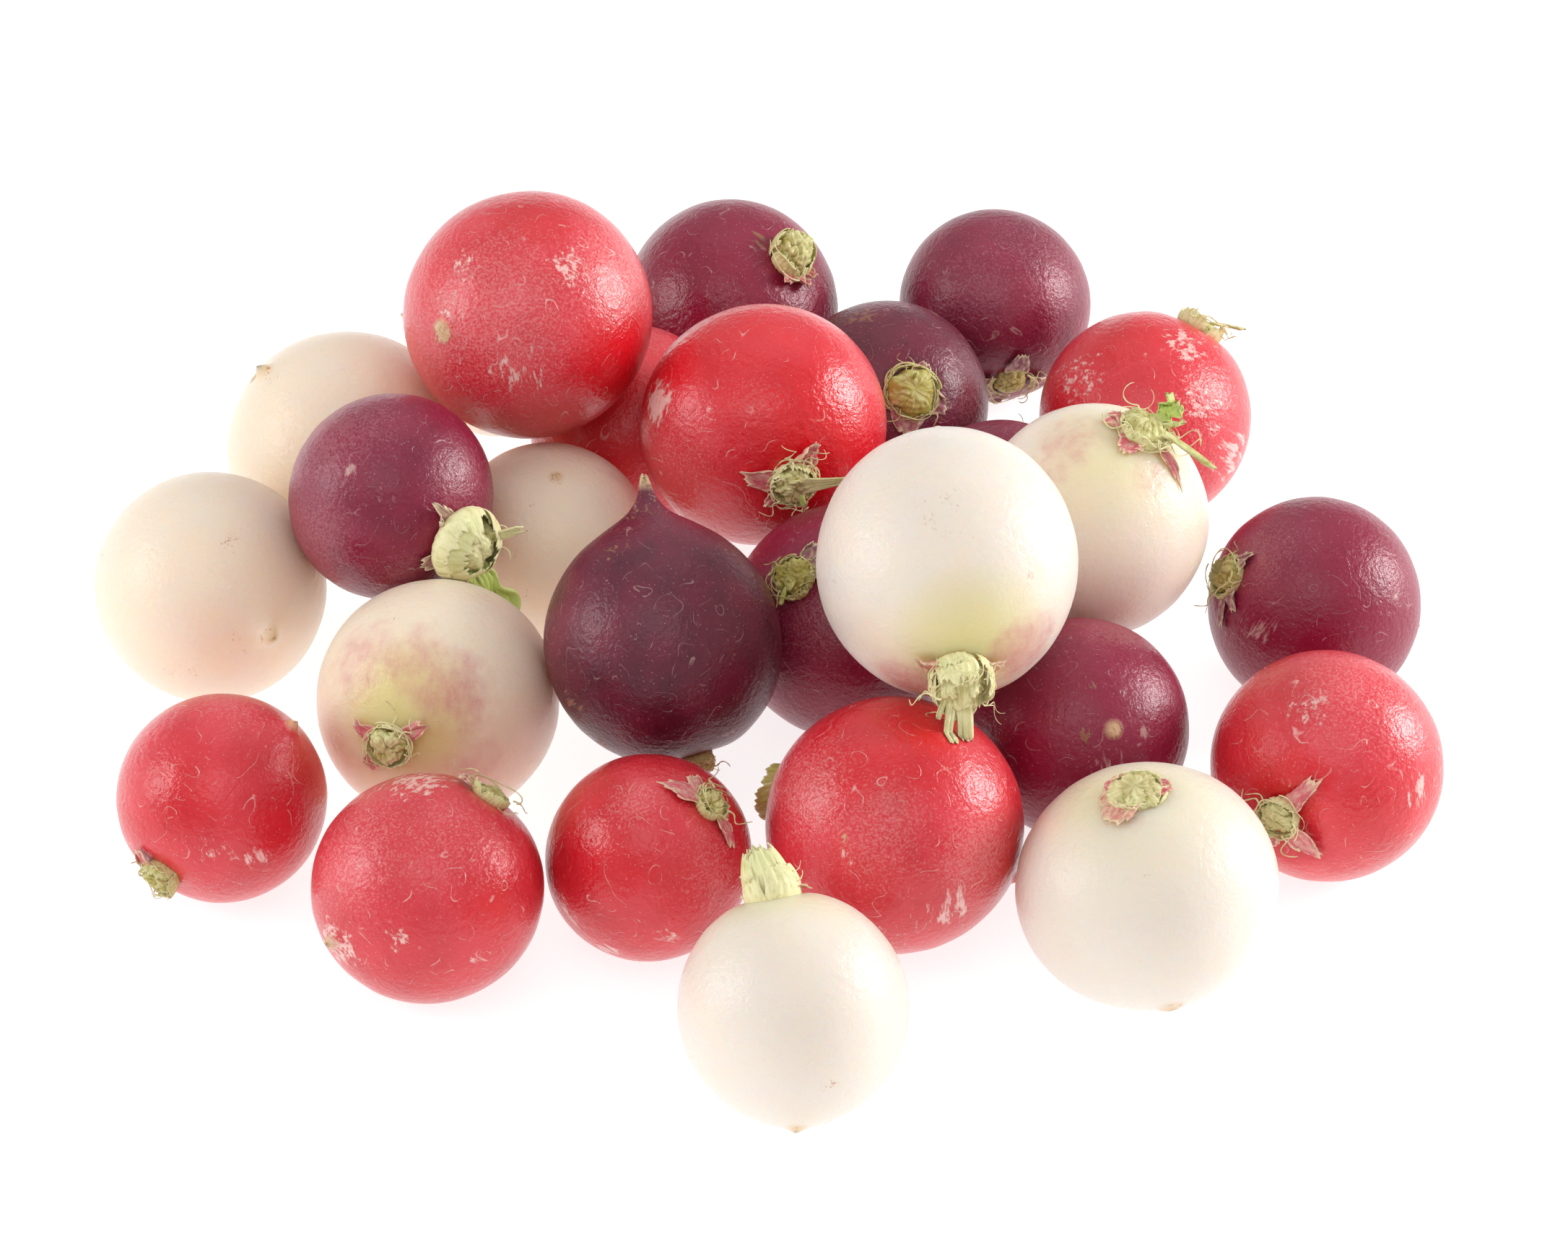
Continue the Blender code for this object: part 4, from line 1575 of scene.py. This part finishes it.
        P, 6, tone=0.7, pale=0.05, dry=0.4, grey=0.85, girth=0.8,
        growths=(
            Core(2.6, 1.0, flat=0.1, rough_mm=0.5), Sheaths(6, (1.4, 2.6), torn=0.4),
            PaperScale(2.6, 7.0, width=0.4, curl_mm=1.0), PaperScale(1.0, 3.4, width=0.4, curl_mm=1.2),
            Petiole(5.2, 3.4, width_mm=1.8, tip=0.6, lift=0.5, sag=0.1),
            Petiole(6.2, 4.4, width_mm=0.7, tip=0.3, lift=0.3, sag=0.2), Fibres(9, 5),
        ),
        spots=marks(
            wet=[(-60, 10, 40, 0.8)],
            bloom=[(-111, 34, 30, 0.9)],
            scuff=[(10, 60, 16, 0.5)],
            scar=[(-125, 74, 6, 0.6)],
        ),
    ),
    Look(
        P, 7, tone=0.75, taper=(0.2, 2.0), nub=(0.25, 1.5),
        spots=marks(
            wet=[(12, 63, 24)],
            bloom=[(46, 70, 26), (-30, 40, 30, 0.8)],
            scuff=[(-78, 18, 18, 0.8), (-52, 32, 5), (-64, 4, 18, 0.8)],
            scar=[(-90, 36, 7, 0.6), (-82, 62, 5, 0.6)],
        ),
    ),
    Look(
        P, 8, tone=0.85, pale=0.3, dry=0.5, grey=0.8, girth=0.9,
        growths=(
            Core(1.8, 0.95, flat=0.2, rough_mm=0.5), Sheaths(5, (1.2, 2.4), torn=0.5),
            PaperScale(4.5, 3.6, width=0.4), PaperScale(2.8, 3.0, width=0.4),
            PaperScale(6.2, 5.0, width=0.35, curl_mm=0.6), Fibres(6, 4),
        ),
        spots=marks(
            wet=[(-100, 20, 40, 0.6)],
            bloom=[(-156, 55, 36, 0.9)],
            scuff=[(-37, 29, 7, 0.8), (-128, 17, 16, 0.7)],
        ),
    ),
    Look(
        P, 9, tone=0.5, grey=0.9,
        spots=marks(
            bloom=[(60, 40, 50, 0.8)],
        ),
    ),
    # White roots: their tone values are painted light and shade, low on the lit roots 4, 7 and 8, high
    # on roots 1, 2, 3 and 6, which lie in shade.
    Look(
        W, 1, tone=0.45, taper=(1.4, 2.2), nub=(1.2, 1.5),
        spots=marks(
            scar=[(170, 42, 7, 0.7)],
            blush=[(31, 33, 26, 0.4), (12, 15, 26, 0.4)],
            speck=[(179, 52, 14, 0.6)],
        ),
    ),
    Look(
        W, 2, tone=0.4, taper=(3.0, 3.4), nub=(0.8, 1.6),
        spots=marks(
            speck=[
                (-59, 58, 8, 0.7), (-156, 63, 10, 0.5), (-177, 26, 12, 0.55), (-70, 8, 10, 0.7),
                (-100, -10, 18, 0.5),
            ],
        ),
    ),
    Look(
        W, 3, tone=0.5, taper=(0.3, 2.0), nub=(0.3, 0.8),
        spots=marks(
            blush=[(16, 47, 26, 0.35)],
            speck=[(-72, 73, 8, 0.8), (-107, 59, 8, 0.6), (-104, 9, 8, 0.6)],
        ),
    ),
    Look(
        W, 4, tone=-0.1, pale=0.75, dry=0.12, taper=(0.2, 2.6), nub=(0.2, 0.5), girth=0.9,
        growths=(
            Core(5.0, 0.95, flat=0.3, rough_mm=0.6, lean=0.3),
            Sheaths(
                4, (5.0, 7.4), foot=1.05, belly=1.2, tip=0.85, spread=0.8, torn=0.5,
                thickness_mm=0.5, lean=0.25,
            ),
            Sheaths(
                5, (2.0, 4.0), foot=1.15, belly=1.3, tip=1.1, spread=0.55, torn=0.5,
                thickness_mm=0.45, turn=0.5, lean=0.2,
            ),
            PaperScale(10.4, 4.0, width=0.42, curl_mm=1.5, paper=0.8),
            PaperScale(2.2, 3.0, width=0.4, curl_mm=0.6, paper=0.8),
            Petiole(6.5, 6.6, width_mm=3.6, tip=0.45, lift=0.85, sag=0.7, fresh=0.0, curl=0.2),
            Petiole(7.4, 8.0, width_mm=2.4, tip=0.5, lift=0.75, sag=0.7, fresh=0.0),
            Petiole(5.6, 6.4, width_mm=2.4, tip=0.5, lift=0.8, sag=0.6, fresh=0.1),
            Petiole(8.4, 5.5, width_mm=1.6, tip=0.6, lift=0.6, sag=0.4, fresh=0.0),
            Fibres(10, 14, reach_mm=5.0, thickness_mm=0.15, height_mm=6.0),
        ),
        spots=marks(
            blush=[(-57, -10, 24, 0.9), (-110, -22, 16, 0.8)],
            leafy=[(-81, 2, 36, 0.8)],
            speck=[(-95, 60, 22, 0.5), (-50, 25, 2.5, 1.4), (-150, 10, 4, 0.7)],
        ),
    ),
    Look(
        W, 5, tone=0.1, pale=0.45, dry=0.15,
        growths=(
            Core(3.2, 1.05, flat=0.1, rough_mm=0.4), Sheaths(5, (1.8, 3.4), torn=0.5),
            PaperScale(9.2, 2.8), PaperScale(7.2, 3.6), PaperScale(5.4, 6.5, width=0.28, curl_mm=0.4),
            PaperScale(10.6, 2.4, width=0.5),
            Petiole(1.6, 6.5, width_mm=2.6, tip=0.6, lift=0.55, sag=0.0, frill=1.0, fresh=1.0),
            Petiole(2.6, 6.0, width_mm=1.0, tip=0.5, lift=0.5, sag=0.2, frill=0.35),
            Petiole(4.6, 12.0, width_mm=2.8, tip=0.3, lift=0.2, sag=0.2, fresh=0.2),
            Fibres(10, 10, reach_mm=5.5),
        ),
        spots=marks(
            blush=[(-153, 75, 24, 0.6), (-44, 52, 16, 0.5), (-140, 60, 18, 0.5)],
            leafy=[(-98, 69, 40, 0.4)],
        ),
    ),
    Look(
        W, 6, tone=0.5, pale=0.65, girth=0.8,
        growths=(
            Core(2.6, 0.95, flat=0.3, rough_mm=0.5), Sheaths(5, (1.4, 2.6), torn=0.5),
            PaperScale(9.9, 3.8, width=0.4, curl_mm=1.4), PaperScale(1.9, 4.2, width=0.4, curl_mm=1.2),
            PaperScale(7.6, 2.8, width=0.5), Fibres(6, 3),
        ),
        spots=marks(
            blush=[(-146, 47, 28, 0.6), (-105, 56, 26, 0.6), (-76, 42, 28, 0.75), (-68, 4, 22, 0.4)],
            leafy=[(-103, 34, 36, 1.1)],
            speck=[(165, 68, 12, 0.5), (-155, 71, 2.5, 1.3)],
        ),
    ),
    Look(
        W, 7, tone=-0.2, pale=0.7, dry=0.1, taper=(1.4, 5.0), nub=(0.5, 1.2), girth=0.9,
        growths=(
            Core(5.0, 0.95, flat=0.2, rough_mm=0.6),
            Sheaths(
                4, (6.0, 8.6), foot=1.15, belly=1.05, tip=0.5, spread=0.9, torn=0.22,
                thickness_mm=0.5, lean=0.15, lean_clock=10,
            ),
            Sheaths(
                4, (3.0, 5.4), foot=1.2, belly=1.2, tip=0.8, spread=0.9, torn=0.25,
                thickness_mm=0.45, turn=0.5,
            ),
            PaperScale(3.6, 2.4, width=0.9, paper=0.9),
            PaperScale(6.0, 1.4, width=0.9, curl_mm=0.4, paper=0.9),
            PaperScale(8.0, 1.6, curl_mm=0.6, paper=0.7), Fibres(4, 4, reach_mm=3.0, height_mm=4.0),
        ),
        spots=marks(
            leafy=[(108, 60, 30, 0.3)],
            speck=[(-149, 27, 5, 0.9), (-73, -2, 6, 0.8), (-111, -15, 7, 0.7)],
        ),
    ),
    Look(
        W, 8, tone=-0.2, pale=0.7, dry=0.2, taper=(0.8, 4.5), nub=(0.3, 2.0),
        growths=(
            Core(0.9, 1.0, flat=1.0, rough_mm=0.6),
            Sheaths(6, (0.5, 1.2), foot=1.0, belly=1.08, tip=1.0, spread=0.6, torn=0.5),
            PaperScale(6.4, 3.8, width=0.75, curl_mm=0.4, paper=0.75),
            PaperScale(3.2, 1.6, curl_mm=0.5), PaperScale(7.6, 2.0, curl_mm=0.4, paper=0.6),
            PaperScale(10.5, 1.0, width=0.8, curl_mm=0.4),
            Fibres(5, 1, reach_mm=2.0, thickness_mm=0.14, height_mm=0.8),
        ),
        spots=marks(
            blush=[(-122, 71, 12, 0.4)],
            leafy=[(162, 60, 24, 0.3)],
            speck=[(-96, 45, 2.5, 1.4), (-79, -45, 12, 0.6)],
            dent=[(-21, 36, 9, 0.35), (-10, 28, 7, 0.35)],
        ),
    ),
    Look(
        W, 9, tone=0.4, taper=(1.8, 2.4),
        spots=marks(
            speck=[(170, 25, 20, 0.6)],
        ),
    ),
)


@dataclass
class Bunch:
    """All the radishes, root by root."""

    looks: tuple[Look, ...]
    pieces: list[bpy.types.Object] = field(default_factory=list)
    near_mm: float = 42.0  # a root whose middle is nearer to a crown than this may touch it
    root_seed: int = 100
    crown_seed: int = 500

    def build(self) -> None:
        """Build every radish and put it on the model's body."""
        skins = {R: RED_SKIN.build(), P: PURPLE_SKIN.build(), W: WHITE_SKIN.build()}
        tissue = LeafBaseFinish().build()
        balls = {look: Ball.read(look.node("root"), look.node("crown")) for look in self.looks}
        for order, look in enumerate(self.looks):
            kind, number, ball = look.variety.value, look.number, balls[look]
            others = [b for b in balls.values() if b is not ball]
            near = [b for b in others if np.linalg.norm(b.centre - ball.seat) < self.near_mm * MM]
            root = Root(
                f"{kind}_flesh_{number}", ball, self.root_seed + order, look.tone, look.spots,
                taper_mm=look.taper[0], taper_width_mm=look.taper[1], nub=look.nub,
            )
            crown = Crown(
                f"{kind}_leaf_bases_{number}", ball, near, self.crown_seed + order, look.growths,
                look.pale, look.dry, look.grey, look.girth,
            )
            self.adopt(root.build(skins[look.variety]), look.node("root"))
            self.adopt(crown.build(tissue), look.node("crown"))

    def adopt(self, piece: bpy.types.Object, node: str) -> None:
        """Let a piece ride on the body and stand for its node.

        Args:
            piece: the finished object.
            node: name of the model's node that it replaces.
        """
        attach(piece, "root")
        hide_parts(node)
        self.pieces.append(piece)
        LOG.info("%s: %d points", piece.name, len(piece.data.vertices))


# ---------------------------------------------------------------- the studio


@dataclass
class Studio:
    """A pale table, soft light from both sides and above, and the camera."""

    look_at: tuple[float, float, float] = (0.0035, 0.0015, 0.0195)
    elevation: float = 38.0
    distance: float = 0.90
    lens_mm: float = 125.3
    floor_size: float = 8.0

    def build(self) -> None:
        """Set up the floor, the lights and the camera."""
        self.floor()
        self.world()
        self.lamp("right_window", (0.80, 0.18, 0.28), (0.34, 0.34), 5.8)
        self.lamp("left_panel", (-0.85, -0.10, 0.38), (0.42, 0.42), 2.7)
        self.lamp("back_panel", (0.0, 0.45, 1.0), (1.0, 0.8), 1.3)
        self.lamp("front_panel", (-0.1, -0.60, 0.95), (0.8, 0.6), 2.0)
        self.camera()

    def floor(self) -> None:
        """Add the pale matt table."""
        half = self.floor_size / 2
        mesh = bpy.data.meshes.new("table_top")
        corners = [(-half, -half, 0), (half, -half, 0), (half, half, 0), (-half, half, 0)]
        mesh.from_pydata(corners, [], [(0, 1, 2, 3)])
        material = bpy.data.materials.new("matt_white_board")
        material.use_nodes = True
        shader = material.node_tree.nodes["Principled BSDF"]
        shader.inputs["Base Color"].default_value = linear("B4B4B4")
        shader.inputs["Roughness"].default_value = 0.9
        shader.inputs["Emission Color"].default_value = (1.0, 1.0, 1.0, 1.0)
        shader.inputs["Emission Strength"].default_value = 0.80
        mesh.materials.append(material)
        table = bpy.data.objects.new("table_top", mesh)
        bpy.context.scene.collection.objects.link(table)

    def world(self) -> None:
        """Fill the room with even pale light."""
        world = bpy.data.worlds.new("studio_air")
        world.use_nodes = True
        background = world.node_tree.nodes["Background"]
        background.inputs["Color"].default_value = (1.0, 1.0, 1.0, 1.0)
        background.inputs["Strength"].default_value = 0.58
        bpy.context.scene.world = world

    def lamp(self, name: str, place: tuple, size: tuple, power: float) -> None:
        """Add a soft rectangular lamp that faces the bunch.

        Args:
            name: its name.
            place: where it stands.
            size: its width and height.
            power: its power in watts.
        """
        light = bpy.data.lights.new(name, "AREA")
        light.shape = "RECTANGLE"
        light.size, light.size_y = size
        light.energy = power
        lamp = bpy.data.objects.new(name, light)
        lamp.location = place
        lamp.rotation_euler = (Vector((0, 0, 0.03)) - Vector(place)).to_track_quat("-Z", "Y").to_euler()
        bpy.context.scene.collection.objects.link(lamp)

    def camera(self) -> None:
        """Add the camera, which looks down on the bunch from the front."""
        data = bpy.data.cameras.new("front_camera")
        data.lens = self.lens_mm
        data.sensor_width = 36.0
        data.clip_start, data.clip_end = 0.05, 20.0
        camera = bpy.data.objects.new("front_camera", data)
        tilt = math.radians(self.elevation)
        ahead = Vector((0, math.cos(tilt), -math.sin(tilt)))
        camera.location = Vector(self.look_at) - ahead * self.distance
        camera.rotation_euler = ahead.to_track_quat("-Z", "Y").to_euler()
        bpy.context.scene.collection.objects.link(camera)
        bpy.context.scene.camera = camera


def main() -> None:
    """Build the bunch and its studio, and log the points of each piece and the number of pieces."""
    logging.basicConfig(level=logging.INFO, format="%(message)s")
    bunch = Bunch(LOOKS)
    bunch.build()
    Studio().build()
    bpy.context.scene.view_settings.view_transform = "Standard"
    LOG.info("%d pieces", len(bunch.pieces))


if __name__ == "__main__":
    main()
